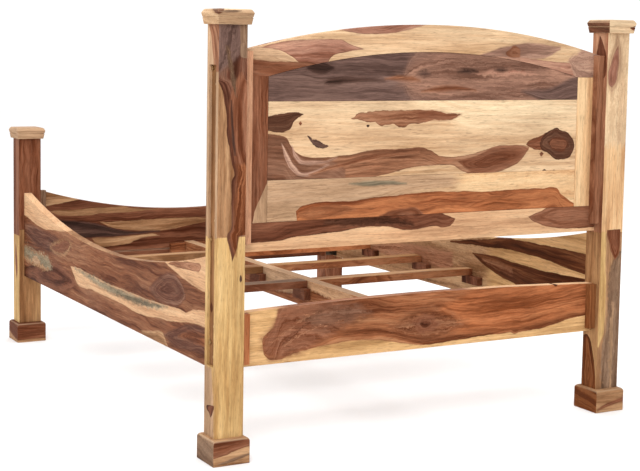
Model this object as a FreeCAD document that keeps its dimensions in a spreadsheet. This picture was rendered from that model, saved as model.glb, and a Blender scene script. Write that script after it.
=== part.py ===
import FreeCAD, Part
import math
import os

import Sketcher

# Panel bed in hardwood: four capped posts on block feet, an arched frame-and-panel headboard,
# a low scooped footboard, two scooped side rails and a centre beam that carries the cross bars.
# Origin on the floor between the four posts, +Z up, +Y to the head end, +X to the sleeper's left.

# Driving sizes, millimetres
SIZES = {
    # Posts
    "post_width": 102.0,
    "post_depth": 87.0,
    "post_spacing_across": 1600.0,
    "post_spacing_along": 2130.0,
    "head_post_top": 1443.0,
    "foot_post_top": 932.0,
    # Block feet under the posts
    "foot_block_width": 133.0,
    "foot_block_height": 87.0,
    "foot_block_round": 13.0,
    # Caps on the posts
    "cap_base_width": 117.0,
    "cap_lip_width": 125.0,
    "cap_width": 131.0,
    "cap_shoulder_width": 121.0,
    "cap_top_width": 113.0,
    "cap_lower_height": 22.0,
    "cap_groove_height": 2.0,
    "cap_groove_depth": 2.0,
    "cap_upper_height": 13.0,
    "cap_bevel_height": 9.0,
    "cap_crown_height": 3.5,
    # Hidden stub tenons at the ends of each post
    "stub_width": 52.0,
    "stub_depth": 44.0,
    "stub_length": 24.0,
    # Routed recess that hides the bolt heads on the head posts
    "recess_width": 52.0,
    "recess_depth": 10.0,
    "recess_edge_inset": 18.5,
    "recess_above_head_rail_bottom": 15.0,
    "recess_below_headboard_shoulder": 45.0,
    # Headboard
    "headboard_thickness": 35.0,
    "headboard_below_post_top": 85.0,
    "headboard_rise": 100.0,
    "headboard_bottom": 694.0,
    "bottom_rail_width": 95.5,
    "stile_width": 100.5,
    "top_rail_shoulder": 82.0,
    "panel_rise": 86.5,
    "panel_thickness": 20.0,
    "panel_inset": 1.0,
    "tongue_length": 9.0,
    "tongue_thickness": 9.4,
    "stile_tenon_length": 18.0,
    "stile_tenon_width": 62.0,
    "stile_tenon_thickness": 12.0,
    # Cleats on the posts that the head and foot boards lie against
    "head_cleat_width": 30.0,
    "head_cleat_depth": 25.0,
    "foot_cleat_width": 25.0,
    "foot_cleat_depth": 25.0,
    "headboard_cleat_inset": 30.0,
    "head_rail_cleat_inset": 13.0,
    # Lower head rail
    "head_rail_bottom": 308.0,
    "head_rail_end_width": 183.0,
    "head_rail_rise": 17.0,
    # Side rails
    "side_rail_inset": 23.0,
    "side_rail_thickness": 35.0,
    "side_rail_bottom": 303.0,
    "side_rail_end_width": 382.0,
    "side_rail_dip": 127.0,
    "rail_tenon_length": 20.0,
    "rail_tenon_thickness": 16.0,
    "rail_tenon_shoulder": 38.0,
    # Footboard
    "footboard_thickness": 35.0,
    "footboard_end_width": 307.0,
    "footboard_dip": 114.0,
    "foot_rail_bottom": 305.0,
    "foot_rail_width": 82.0,
    "foot_joint_bevel": 4.0,
    # Centre beam and its saddles
    "beam_width": 50.0,
    "beam_height": 110.0,
    "beam_end_height": 72.0,
    "deck_top": 420.0,
    "saddle_width": 202.0,
    "saddle_thickness": 23.0,
    "saddle_height": 102.0,
    "saddle_below_deck": 6.0,
    # Cross bars and the blocks under their ends
    "bar_width": 65.0,
    "bar_thickness": 30.0,
    "rail_block_reach": 27.0,
    "rail_block_length": 118.0,
    "rail_block_height": 35.0,
    "rail_block_lead": 76.0,
    "beam_block_reach": 30.0,
    "beam_block_length": 100.0,
    "beam_block_height": 46.0,
    "beam_block_lead": 27.0,
    # Steel corner brackets
    "bracket_leg": 40.0,
    "bracket_edge_gap": 4.0,
    "bracket_height": 45.0,
    "bracket_plate": 3.0,
    "bracket_lift": 6.0,
    # Fasteners
    "frame_bolt_diameter": 8.0,
    "frame_bolt_head_width": 13.0,
    "frame_bolt_head_height": 4.5,
    "frame_bolt_grip": 52.0,
    "cleat_bolt_diameter": 6.0,
    "cleat_bolt_head_width": 10.0,
    "cleat_bolt_head_height": 3.6,
    "cleat_bolt_grip": 22.0,
    # Clearances
    "fit_gap": 0.3,
    "end_gap": 1.0,
    "overrun": 1.0,
}

# Middles of the cross bars, as shares of the length between head and foot posts
BAR_PLACE_SHARES = (-0.332, -0.109, 0.088, 0.356)
# Heights of the cleat bolts, as shares of their cleat's height
HEADBOARD_CLEAT_BOLT_SHARES = (0.13, 0.83)
HEAD_RAIL_CLEAT_BOLT_SHARES = (0.2, 0.8)
# Joints between the panel's boards, as shares of its straight height
BOARD_JOINT_SHARES = (0.289, 0.829)
# Height of the frame bolt in the shoulder of the top rail, as a share of the shoulder
TOP_BOLT_SHARE = 0.3

SIDES = (("left", 1), ("right", -1))

doc = FreeCAD.newDocument("PanelBed")


class Size:
    """A length with its value and the formula that gives it from the sheet."""

    def __init__(self, value, formula):
        self.value = value
        self.formula = formula

    def joined(self, sign, other, result):
        return Size(result, "(%s %s %s)" % (self.formula, sign, formula_of(other)))

    def __add__(self, other):
        return self.joined("+", other, self.value + value_of(other))

    def __sub__(self, other):
        return self.joined("-", other, self.value - value_of(other))

    def __mul__(self, other):
        return self.joined("*", other, self.value * value_of(other))

    def __truediv__(self, other):
        return self.joined("/", other, self.value / value_of(other))

    def __neg__(self):
        return self * -1


def value_of(item):
    """Number behind a size or a plain number."""
    return item.value if isinstance(item, Size) else item


def formula_of(item):
    """Formula of a size, or a plain number as text."""
    return item.formula if isinstance(item, Size) else "%r" % item


class Names:
    """Gives each cell of the sheet as a Size under its own name."""

    def __init__(self, sheet, table):
        for row, name in enumerate(table, start=1):
            sheet.set("A%d" % row, name)
            sheet.set("B%d" % row, "%r" % table[name])
            sheet.setAlias("B%d" % row, name)
            setattr(self, name, Size(table[name], "%s.%s" % (sheet.Name, name)))


s = Names(doc.addObject("Spreadsheet::Sheet", "Sizes"), SIZES)
doc.recompute()
zero = s.fit_gap * 0


# Places that several pieces share

post_x = s.post_spacing_across / 2
post_y = s.post_spacing_along / 2
post_inner_x = post_x - s.post_width / 2
post_outer_x = post_x + s.post_width / 2
post_inner_y = post_y - s.post_depth / 2

rail_outer_x = post_outer_x - s.side_rail_inset
rail_inner_x = rail_outer_x - s.side_rail_thickness
rail_middle_x = rail_outer_x - s.side_rail_thickness / 2

head_back_y = post_y
head_front_y = head_back_y - s.headboard_thickness
head_middle_y = head_back_y - s.headboard_thickness / 2
head_cleat_y = head_back_y + s.head_cleat_depth / 2

foot_inner_y = -(post_inner_y + s.foot_cleat_depth)
foot_middle_y = foot_inner_y - s.footboard_thickness / 2

headboard_shoulder = s.head_post_top - s.headboard_below_post_top
headboard_crown = headboard_shoulder + s.headboard_rise
panel_shoulder = headboard_shoulder - s.top_rail_shoulder
panel_crown = panel_shoulder + s.panel_rise
panel_bottom = s.headboard_bottom + s.bottom_rail_width
frame_half = post_inner_x - s.fit_gap
panel_half = frame_half - s.stile_width
groove_depth = s.tongue_length + s.end_gap
groove_thickness = s.tongue_thickness + s.fit_gap * 2
panel_back_y = head_back_y - s.panel_inset
panel_middle_y = panel_back_y - s.panel_thickness / 2

bar_bottom = s.deck_top - s.bar_thickness
beam_bottom = s.deck_top - s.beam_height
beam_seat = s.deck_top - s.beam_end_height
bar_inner_x = s.beam_width / 2 + s.fit_gap
bar_outer_x = rail_inner_x - s.fit_gap
bar_middle_x = (bar_inner_x + bar_outer_x) / 2
bar_length = bar_outer_x - bar_inner_x
inner_length = post_inner_y * 2

head_rail_shoulder = s.head_rail_bottom + s.head_rail_end_width
side_rail_end_top = s.side_rail_bottom + s.side_rail_end_width
foot_rail_top = s.foot_rail_bottom + s.foot_rail_width
footboard_end_top = foot_rail_top + s.footboard_end_width
saddle_top = s.deck_top - s.saddle_below_deck

recess_outer_y = post_y + s.post_depth / 2 - s.recess_edge_inset
recess_middle_y = recess_outer_y - s.recess_width / 2
recess_floor_x = post_outer_x - s.recess_depth
recess_bottom = s.head_rail_bottom + s.recess_above_head_rail_bottom
recess_top = headboard_shoulder - s.recess_below_headboard_shoulder

head_rail_bolt_z = s.head_rail_bottom + s.head_rail_end_width / 2
bottom_rail_bolt_z = s.headboard_bottom + s.bottom_rail_width / 2
top_rail_bolt_z = panel_shoulder + s.top_rail_shoulder * TOP_BOLT_SHARE
FRAME_BOLT_HEIGHTS = (head_rail_bolt_z, bottom_rail_bolt_z, top_rail_bolt_z)

head_rail_cleat_bottom = s.head_rail_bottom + s.head_rail_cleat_inset
head_rail_cleat_top = head_rail_shoulder
headboard_cleat_bottom = s.headboard_bottom + s.headboard_cleat_inset
headboard_cleat_top = headboard_shoulder
HEADBOARD_CLEAT_BOLT_HEIGHTS = [
    headboard_cleat_bottom + (headboard_cleat_top - headboard_cleat_bottom) * share
    for share in HEADBOARD_CLEAT_BOLT_SHARES
]
HEAD_RAIL_CLEAT_BOLT_HEIGHTS = [
    head_rail_cleat_bottom + (head_rail_cleat_top - head_rail_cleat_bottom) * share
    for share in HEAD_RAIL_CLEAT_BOLT_SHARES
]
BAR_PLACES = [inner_length * share for share in BAR_PLACE_SHARES]


# Drawing helpers

def arc_radius(half_chord, rise):
    """Radius of the arc that rises by that much over that half chord."""
    return (half_chord * half_chord + rise * rise) / (rise * 2)


def bind(item, prop, size):
    """Bind a property to a size."""
    item.setExpression(prop, formula_of(size))


def new_body(label, place=(zero, zero, zero)):
    """Body with its own label, set down at a place of the bed."""
    body = doc.addObject("PartDesign::Body", label)
    body.Label = label
    for axis, size in zip("xyz", place):
        bind(body, "Placement.Base." + axis, size)
    return body


def new_sketch(body, role, shift=zero):
    """Sketch on one of the body's own origin planes, moved along the plane's normal."""
    sketch = body.newObject("Sketcher::SketchObject", body.Name + "_sketch")
    plane = [item for item in body.Origin.OriginFeatures if item.Role == role][0]
    sketch.AttachmentSupport = (plane, "")
    sketch.MapMode = "FlatFace"
    bind(sketch, "AttachmentOffset.Base.z", shift)
    return sketch


def hold(sketch, kind, edge, end, size):
    """Dimension from the sketch's origin to a point, bound to a size."""
    index = sketch.addConstraint(Sketcher.Constraint(kind, -1, 1, edge, end, value_of(size)))
    bind(sketch, "Constraints[%d]" % index, size)


def draw_arc(start, end, radius, hollow):
    """Arc from start to end, and whether it runs the same way as its own angles."""
    chord = end - start
    half = chord.Length / 2
    across = FreeCAD.Vector(-chord.y, chord.x, 0) / chord.Length
    reach = math.sqrt(radius * radius - half * half)
    centre = (start + end) / 2 + across * (-reach if hollow else reach)
    circle = Part.Circle(centre, FreeCAD.Vector(0, 0, 1), radius)
    first, last = (end, start) if hollow else (start, end)
    return Part.ArcOfCircle(circle, circle.parameter(first), circle.parameter(last))


def draw_outline(sketch, points, arcs=None):
    """Closed outline, counterclockwise. arcs: edge number -> (radius, hollow or not)."""
    arcs = arcs or {}
    corners = [FreeCAD.Vector(value_of(across), value_of(up), 0) for across, up in points]
    starts = []
    for edge, start in enumerate(corners):
        end = corners[(edge + 1) % len(corners)]
        if edge in arcs:
            radius, hollow = arcs[edge]
            sketch.addGeometry(draw_arc(start, end, value_of(radius), hollow), False)
            starts.append(2 if hollow else 1)
        else:
            sketch.addGeometry(Part.LineSegment(start, end), False)
            starts.append(1)
    for edge, start in enumerate(starts):
        following = (edge + 1) % len(starts)
        sketch.addConstraint(
            Sketcher.Constraint("Coincident", edge, 3 - start, following, starts[following]))
    for edge, (across, up) in enumerate(points):
        hold(sketch, "DistanceX", edge, starts[edge], across)
        hold(sketch, "DistanceY", edge, starts[edge], up)
    for edge in arcs:
        radius = arcs[edge][0]
        index = sketch.addConstraint(Sketcher.Constraint("Radius", edge, value_of(radius)))
        bind(sketch, "Constraints[%d]" % index, radius)


def rectangle(low_x, high_x, low_y, high_y):
    """Corner points of a rectangle."""
    return [(low_x, low_y), (high_x, low_y), (high_x, high_y), (low_x, high_y)]


def add_material(body, sketch, length, symmetric=False):
    """Pad along the sketch's normal, or to both sides of it."""
    pad = body.newObject("PartDesign::Pad", body.Name + "_pad")
    pad.Profile = sketch
    bind(pad, "Length", length)
    if symmetric:
        pad.SideType = "Symmetric"
    sketch.Visibility = False
    return pad


def cut_material(body, sketch, length, symmetric=False):
    """Pocket along the sketch's normal, or to both sides of it. It must remove something."""
    doc.recompute()
    before = body.Shape.Volume
    pocket = body.newObject("PartDesign::Pocket", body.Name + "_pocket")
    pocket.Profile = sketch
    bind(pocket, "Length", length)
    pocket.Reversed = True
    if symmetric:
        pocket.SideType = "Symmetric"
    sketch.Visibility = False
    doc.recompute()
    if body.Shape.Volume >= before:
        raise RuntimeError("%s: a cut removed nothing" % body.Label)
    return pocket


def add_block(body, low, high):
    """Rectangular block between two corners given in the body's own frame."""
    sketch = new_sketch(body, "XY_Plane", low[2])
    draw_outline(sketch, rectangle(low[0], high[0], low[1], high[1]))
    return add_material(body, sketch, high[2] - low[2])


def cut_block(body, low, high):
    """Rectangular pocket between two corners given in the body's own frame."""
    sketch = new_sketch(body, "XY_Plane", low[2])
    draw_outline(sketch, rectangle(low[0], high[0], low[1], high[1]))
    return cut_material(body, sketch, high[2] - low[2])


def cut_holes(body, role, start, depth, diameter, places):
    """Round holes along the normal of a plane, from start on, at places of that plane."""
    sketch = new_sketch(body, role, start)
    for index, (across, up) in enumerate(places):
        centre = FreeCAD.Vector(value_of(across), value_of(up), 0)
        circle = Part.Circle(centre, FreeCAD.Vector(0, 0, 1), value_of(diameter) / 2)
        sketch.addGeometry(circle, False)
        hold(sketch, "DistanceX", index, 3, across)
        hold(sketch, "DistanceY", index, 3, up)
        constraint = sketch.addConstraint(
            Sketcher.Constraint("Diameter", index, value_of(diameter)))
        bind(sketch, "Constraints[%d]" % constraint, diameter)
    return cut_material(body, sketch, depth)


def round_top(body, feature, radius):
    """Round over the edges around the top face of a body's last feature."""
    doc.recompute()
    edges = feature.Shape.Edges
    level = max(edge.BoundBox.ZMin for edge in edges)
    rims = [
        "Edge%d" % (index + 1)
        for index, edge in enumerate(edges)
        if math.isclose(edge.BoundBox.ZMin, level)
    ]
    fillet = body.newObject("PartDesign::Fillet", body.Name + "_round")
    fillet.Base = (feature, rims)
    bind(fillet, "Radius", radius)
    doc.recompute()


def mirrored(low, high, side):
    """Two bounds of a piece, put in order after a change of side."""
    return (low, high) if side > 0 else (-high, -low)


# Posts

def make_post(end, end_sign, side, sign):
    """Square post with stub tenons, a mortise for the side rail and, at the head, a bolt recess."""
    top = s.head_post_top if end == "head" else s.foot_post_top
    body = new_body("post_%s_%s" % (end, side), (post_x * sign, post_y * end_sign, zero))
    half_width = s.post_width / 2
    half_depth = s.post_depth / 2
    add_block(body, (-half_width, -half_depth, s.foot_block_height), (half_width, half_depth, top))
    add_block(
        body,
        (-s.stub_width / 2, -s.stub_depth / 2, s.foot_block_height - s.stub_length),
        (s.stub_width / 2, s.stub_depth / 2, top + s.stub_length))

    # Blind mortise for the side rail's tenon, in the face that looks to the other end
    mortise_half = s.rail_tenon_thickness / 2 + s.fit_gap
    mortise_x = (rail_middle_x - post_x) * sign
    depth = s.rail_tenon_length + s.end_gap
    near, far = mirrored(half_depth - depth, half_depth + s.overrun, -end_sign)
    cut_block(
        body,
        (mortise_x - mortise_half, near, s.side_rail_bottom + s.rail_tenon_shoulder - s.fit_gap),
        (mortise_x + mortise_half, far, side_rail_end_top - s.rail_tenon_shoulder + s.fit_gap))

    if end == "head":
        near, far = mirrored(half_width - s.recess_depth, half_width + s.overrun, sign)
        middle = recess_middle_y - post_y
        cut_block(
            body,
            (near, middle - s.recess_width / 2, recess_bottom),
            (far, middle + s.recess_width / 2, recess_top))
        start = -half_width - s.overrun
        through = s.post_width + s.overrun * 2
        cut_holes(
            body, "YZ_Plane", start, through, s.frame_bolt_diameter + s.fit_gap * 2,
            [(head_middle_y - post_y, height) for height in FRAME_BOLT_HEIGHTS])
        cut_holes(
            body, "YZ_Plane", start, through, s.cleat_bolt_diameter + s.fit_gap * 2,
            [(head_cleat_y - post_y, height)
             for height in HEADBOARD_CLEAT_BOLT_HEIGHTS + HEAD_RAIL_CLEAT_BOLT_HEIGHTS])
    return body


def make_foot_block(end, end_sign, side, sign):
    """Block foot with a rounded top edge and a mortise for the post's stub tenon."""
    body = new_body("foot_block_%s_%s" % (end, side), (post_x * sign, post_y * end_sign, zero))
    half = s.foot_block_width / 2
    block = add_block(body, (-half, -half, zero), (half, half, s.foot_block_height))
    round_top(body, block, s.foot_block_round)
    cut_block(
        body,
        (-s.stub_width / 2 - s.fit_gap, -s.stub_depth / 2 - s.fit_gap,
         s.foot_block_height - s.stub_length - s.end_gap),
        (s.stub_width / 2 + s.fit_gap, s.stub_depth / 2 + s.fit_gap,
         s.foot_block_height + s.overrun))
    return body


def add_taper(body, low, low_width, high, high_width):
    """Square slab whose sides lean out or in evenly between two heights."""
    sketch = new_sketch(body, "XY_Plane", low)
    draw_outline(sketch, rectangle(-low_width / 2, low_width / 2, -low_width / 2, low_width / 2))
    pad = add_material(body, sketch, high - low)
    lean = (high_width - low_width) / 2 / (high - low)
    pad.setExpression("TaperAngle", "atan(%s)" % formula_of(lean))
    return pad


def make_cap(end, end_sign, side, sign):
    """Cap in one piece: flared lower slab, narrow groove, upper slab that leans in to a low crown."""
    bottom = s.head_post_top if end == "head" else s.foot_post_top
    body = new_body("cap_%s_%s" % (end, side), (post_x * sign, post_y * end_sign, bottom))
    neck_width = s.cap_lip_width - s.cap_groove_depth * 2
    neck = s.cap_lower_height + s.cap_groove_height
    rim = neck + s.cap_upper_height
    shoulder = rim + s.cap_bevel_height
    add_taper(body, zero, s.cap_base_width, s.cap_lower_height, s.cap_lip_width)
    add_block(
        body,
        (-neck_width / 2, -neck_width / 2, s.cap_lower_height),
        (neck_width / 2, neck_width / 2, neck))
    add_taper(body, neck, s.cap_lip_width, rim, s.cap_width)
    add_taper(body, rim, s.cap_width, shoulder, s.cap_shoulder_width)
    add_taper(
        body, shoulder, s.cap_shoulder_width, shoulder + s.cap_crown_height, s.cap_top_width)
    cut_block(
        body,
        (-s.stub_width / 2 - s.fit_gap, -s.stub_depth / 2 - s.fit_gap, -s.overrun),
        (s.stub_width / 2 + s.fit_gap, s.stub_depth / 2 + s.fit_gap,
         s.stub_length + s.end_gap))
    return body


# Headboard, an arched frame with a panel of three boards in its groove

outer_arch = arc_radius(post_inner_x, s.headboard_rise)
inner_arch = arc_radius(panel_half, s.panel_rise)
panel_groove = panel_middle_y - head_middle_y


def arch_rise(half_chord, radius):
    """How far an arc of that radius drops from its crown at that half chord."""
    drop = radius.value - math.sqrt(radius.value ** 2 - half_chord.value ** 2)
    square = "(%s * %s - %s * %s)" % (
        radius.formula, radius.formula, half_chord.formula, half_chord.formula)
    return Size(drop, "(%s - sqrt(%s))" % (radius.formula, square))


def make_top_rail():
    """Arched top rail, grooved along its lower arch, with mortises for the stiles."""
    body = new_body("headboard_top_rail", (zero, head_middle_y, zero))
    sketch = new_sketch(body, "XZ_Plane")
    shoulder = headboard_crown - arch_rise(frame_half, outer_arch)
    draw_outline(
        sketch,
        [(-frame_half, panel_shoulder), (-panel_half, panel_shoulder),
         (panel_half, panel_shoulder), (frame_half, panel_shoulder),
         (frame_half, shoulder), (-frame_half, shoulder)],
        {1: (inner_arch, True), 4: (outer_arch, False)})
    add_material(body, sketch, s.headboard_thickness, symmetric=True)

    # Groove that follows the lower arch
    groove_arch = inner_arch + groove_depth
    edge = arch_rise(panel_half, groove_arch)
    crown = panel_crown + groove_depth
    sketch = new_sketch(body, "XZ_Plane", -panel_groove)
    draw_outline(
        sketch,
        [(-panel_half, panel_shoulder - s.overrun), (panel_half, panel_shoulder - s.overrun),
         (panel_half, crown - edge), (-panel_half, crown - edge)],
        {2: (groove_arch, False)})
    cut_material(body, sketch, groove_thickness, symmetric=True)
    cut_stile_mortises(body, panel_shoulder - s.overrun,
                       panel_shoulder + s.stile_tenon_length + s.end_gap)
    cut_frame_bolt_holes(body, top_rail_bolt_z)
    return body


def make_bottom_rail():
    """Straight bottom rail, grooved along its top edge, with mortises for the stiles."""
    body = new_body("headboard_bottom_rail", (zero, head_middle_y, zero))
    half = s.headboard_thickness / 2
    add_block(body, (-frame_half, -half, s.headboard_bottom), (frame_half, half, panel_bottom))
    cut_block(
        body,
        (-panel_half, panel_groove - groove_thickness / 2, panel_bottom - groove_depth),
        (panel_half, panel_groove + groove_thickness / 2, panel_bottom + s.overrun))
    cut_stile_mortises(body, panel_bottom - s.stile_tenon_length - s.end_gap,
                       panel_bottom + s.overrun)
    cut_frame_bolt_holes(body, bottom_rail_bolt_z)
    return body


def cut_stile_mortises(body, low, high):
    """Mortises for both stiles' tenons between two heights."""
    middle = (frame_half + panel_half) / 2
    half_width = s.stile_tenon_width / 2 + s.fit_gap
    half_thickness = s.stile_tenon_thickness / 2 + s.fit_gap
    for _, sign in SIDES:
        cut_block(
            body,
            (middle * sign - half_width, -half_thickness, low),
            (middle * sign + half_width, half_thickness, high))


def cut_frame_bolt_holes(body, height):
    """Blind holes in both ends of a rail for the bolts through the head posts."""
    depth = s.frame_bolt_grip + s.end_gap
    diameter = s.frame_bolt_diameter + s.fit_gap * 2
    for start in (-frame_half - s.overrun, frame_half - depth):
        cut_holes(body, "YZ_Plane", start, depth + s.overrun, diameter, [(zero, height)])


def make_stile(side, sign):
    """Upright of the headboard frame, tenoned into both rails and grooved for the panel."""
    middle = (frame_half + panel_half) / 2
    body = new_body("headboard_stile_" + side, (middle * sign, head_middle_y, zero))
    half_width = s.stile_width / 2
    half = s.headboard_thickness / 2
    add_block(body, (-half_width, -half, panel_bottom), (half_width, half, panel_shoulder))
    half_tenon = s.stile_tenon_thickness / 2
    add_block(
        body,
        (-s.stile_tenon_width / 2, -half_tenon, panel_bottom - s.stile_tenon_length),
        (s.stile_tenon_width / 2, half_tenon, panel_shoulder + s.stile_tenon_length))
    near, far = mirrored(half_width - groove_depth, half_width + s.overrun, -sign)
    cut_block(
        body,
        (near, panel_groove - groove_thickness / 2, panel_bottom),
        (far, panel_groove + groove_thickness / 2, panel_shoulder))
    return body


def make_panel_board(name, low, high, in_bottom_rail=False, in_top_rail=False):
    """Board of the panel: its field, and the thinner sheet whose edges are the tongues."""
    body = new_body("headboard_panel_board_" + name, (zero, panel_middle_y, zero))
    half = panel_half - s.fit_gap
    tongue_half = panel_half + s.tongue_length
    field_low = low + s.fit_gap if in_bottom_rail else low
    side_high = high - s.fit_gap if in_top_rail else high

    # Field, with the top board arched under the rail
    field = new_sketch(body, "XZ_Plane")
    if in_top_rail:
        arch = inner_arch - s.fit_gap
        field_high = panel_crown - s.fit_gap - arch_rise(half, arch)
        draw_outline(field, rectangle(-half, half, field_low, field_high), {2: (arch, False)})
    else:
        draw_outline(field, rectangle(-half, half, field_low, high))
    add_material(body, field, s.panel_thickness, symmetric=True)

    # Sheet with a tongue at each side, and one below or above where the board meets a rail
    right_side = [(tongue_half, field_low), (tongue_half, side_high)]
    left_side = [(-tongue_half, side_high), (-tongue_half, field_low)]
    arcs = {}
    if in_bottom_rail:
        tongue_low = low - s.tongue_length
        below = [(-half, field_low), (-half, tongue_low), (half, tongue_low), (half, field_low)]
        outline = below + right_side + left_side
    elif in_top_rail:
        arch = inner_arch + s.tongue_length
        tongue_high = panel_crown + s.tongue_length - arch_rise(half, arch)
        above = [(half, side_high), (half, tongue_high), (-half, tongue_high), (-half, side_high)]
        outline = right_side + above + left_side
        arcs = {3: (arch, False)}
    else:
        outline = right_side + left_side
    sheet = new_sketch(body, "XZ_Plane")
    draw_outline(sheet, outline, arcs)
    add_material(body, sheet, s.tongue_thickness, symmetric=True)
    return body


# Lower head rail and the cleats

def make_head_rail():
    """Lower rail between the head posts, its top edge slightly crowned."""
    body = new_body("head_rail", (zero, head_middle_y, zero))
    arch = arc_radius(frame_half, s.head_rail_rise)
    sketch = new_sketch(body, "XZ_Plane")
    draw_outline(
        sketch,
        rectangle(-frame_half, frame_half, s.head_rail_bottom, head_rail_shoulder),
        {2: (arch, False)})
    add_material(body, sketch, s.headboard_thickness, symmetric=True)
    cut_frame_bolt_holes(body, head_rail_bolt_z)
    return body


def make_head_cleat(name, side, sign, low, high, bolt_heights):
    """Square batten on the inner face of a head post, bolted through the post."""
    middle = post_inner_x - s.head_cleat_width / 2
    body = new_body("%s_cleat_%s" % (name, side), (middle * sign, head_cleat_y, zero))
    half_width = s.head_cleat_width / 2
    half_depth = s.head_cleat_depth / 2
    add_block(body, (-half_width, -half_depth, low), (half_width, half_depth, high))
    depth = s.cleat_bolt_grip + s.end_gap
    start = half_width - depth if sign > 0 else -half_width - s.overrun
    cut_holes(
        body, "YZ_Plane", start, depth + s.overrun, s.cleat_bolt_diameter + s.fit_gap * 2,
        [(zero, height) for height in bolt_heights])
    return body


# Side rails

def make_side_rail(side, sign):
    """Side rail whose top edge dips in one long curve, with a stub tenon at each end."""
    body = new_body("side_rail_" + side, (rail_middle_x * sign, zero, zero))
    half_length = post_inner_y
    dip = arc_radius(half_length, s.side_rail_dip)
    sketch = new_sketch(body, "YZ_Plane")
    draw_outline(
        sketch,
        rectangle(-half_length, half_length, s.side_rail_bottom, side_rail_end_top),
        {2: (dip, True)})
    add_material(body, sketch, s.side_rail_thickness, symmetric=True)
    half_tenon = s.rail_tenon_thickness / 2
    tenon_low = s.side_rail_bottom + s.rail_tenon_shoulder
    tenon_high = side_rail_end_top - s.rail_tenon_shoulder
    root = post_inner_y - s.rail_tenon_length
    for low, high in ((root, post_inner_y + s.rail_tenon_length),
                      (-post_inner_y - s.rail_tenon_length, -root)):
        add_block(body, (-half_tenon, low, tenon_low), (half_tenon, high, tenon_high))
    return body


# Footboard

def make_footboard():
    """Footboard with a scooped top edge, bevelled where it meets the lower rail."""
    body = new_body("footboard", (zero, foot_middle_y, zero))
    dip = arc_radius(frame_half, s.footboard_dip)
    sketch = new_sketch(body, "XZ_Plane")
    draw_outline(
        sketch,
        rectangle(-frame_half, frame_half, foot_rail_top, footboard_end_top),
        {2: (dip, True)})
    add_material(body, sketch, s.footboard_thickness, symmetric=True)
    cut_foot_bevel(body, foot_rail_top, 1)
    return body


def make_foot_rail():
    """Lower rail of the footboard, bevelled where it meets the board above."""
    body = new_body("foot_rail", (zero, foot_middle_y, zero))
    half = s.footboard_thickness / 2
    add_block(body, (-frame_half, -half, s.foot_rail_bottom), (frame_half, half, foot_rail_top))
    cut_foot_bevel(body, foot_rail_top, -1)
    return body


def cut_foot_bevel(body, joint, up):
    """Bevel along the inner edge of the joint between footboard and foot rail."""
    half = s.footboard_thickness / 2
    sketch = new_sketch(body, "YZ_Plane")
    corner = (half + s.overrun, joint)
    back = (half - s.foot_joint_bevel, joint)
    rise = (half + s.overrun, joint + (s.foot_joint_bevel + s.overrun) * up)
    points = [back, corner, rise] if up > 0 else [back, rise, corner]
    draw_outline(sketch, points)
    cut_material(body, sketch, (frame_half + s.overrun) * 2, symmetric=True)


def make_foot_cleat(side, sign):
    """Square batten on the inner face of a foot post, in front of the footboard."""
    middle_x = post_inner_x - s.foot_cleat_width / 2
    middle_y = foot_inner_y + s.foot_cleat_depth / 2
    body = new_body("footboard_cleat_" + side, (middle_x * sign, middle_y, zero))
    half_width = s.foot_cleat_width / 2
    half_depth = s.foot_cleat_depth / 2
    add_block(
        body,
        (-half_width, -half_depth, s.foot_rail_bottom),
        (half_width, half_depth, footboard_end_top))
    return body


# Centre beam, saddles, cross bars and their blocks

beam_head_y = head_front_y - s.fit_gap
beam_foot_y = foot_inner_y + s.fit_gap


def make_beam():
    """Centre beam whose ends are cut away below to sit in the saddles."""
    body = new_body("centre_beam")
    half = s.beam_width / 2
    add_block(body, (-half, beam_foot_y, beam_seat), (half, beam_head_y, s.deck_top))
    add_block(
        body,
        (-half, beam_foot_y + s.saddle_thickness, beam_bottom),
        (half, beam_head_y - s.saddle_thickness, beam_seat))
    return body


def make_saddle(end, inner_y, end_sign):
    """Saddle board on the head rail or the footboard, notched for the end of the beam."""
    middle = inner_y - s.saddle_thickness / 2 * end_sign
    body = new_body("beam_saddle_" + end, (zero, middle, zero))
    half = s.saddle_thickness / 2
    add_block(
        body,
        (-s.saddle_width / 2, -half, saddle_top - s.saddle_height),
        (s.saddle_width / 2, half, saddle_top))
    notch = s.beam_width / 2 + s.fit_gap
    cut_block(
        body,
        (-notch, -half - s.overrun, beam_seat),
        (notch, half + s.overrun, saddle_top + s.overrun))
    return body


def make_bar(side, sign, number, place):
    """One half of a cross bar, from the beam to the side rail."""
    name = "cross_bar_%s_%d" % (side, number)
    body = new_body(name, (bar_middle_x * sign, place, zero))
    add_block(
        body,
        (-bar_length / 2, -s.bar_width / 2, bar_bottom),
        (bar_length / 2, s.bar_width / 2, s.deck_top))
    return body


def group(label, members):
    """Separate solids that make up one node."""
    compound = doc.addObject("Part::Compound", label)
    compound.Label = label
    compound.Links = members
    return compound


def copies(label, source, places):
    """Further solids of the same shape at other places, grouped with the first in one node."""
    members = []
    for index, (place, turn) in enumerate(places):
        link = doc.addObject("App::Link", "%s_%d" % (label, index + 1))
        link.LinkedObject = source
        link.LinkTransform = True
        link.Placement.Rotation = turn
        for axis, size in zip("xyz", place):
            bind(link, "Placement.Base." + axis, size)
        members.append(link)
    return group(label, members)


def rail_blocks():
    """Support blocks on the side rails, one under the outer end of each cross bar."""
    members = []
    for side, sign in SIDES:
        near, far = mirrored(rail_inner_x - s.rail_block_reach, rail_inner_x, sign)
        for number, place in enumerate(BAR_PLACES, start=1):
            body = new_body("rail_block_%s_%d" % (side, number))
            front = place + s.bar_width / 2 + s.rail_block_lead
            add_block(
                body,
                (near, front - s.rail_block_length, bar_bottom - s.rail_block_height),
                (far, front, bar_bottom))
            members.append(body)
    return group("rail_support_blocks", members)


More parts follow.
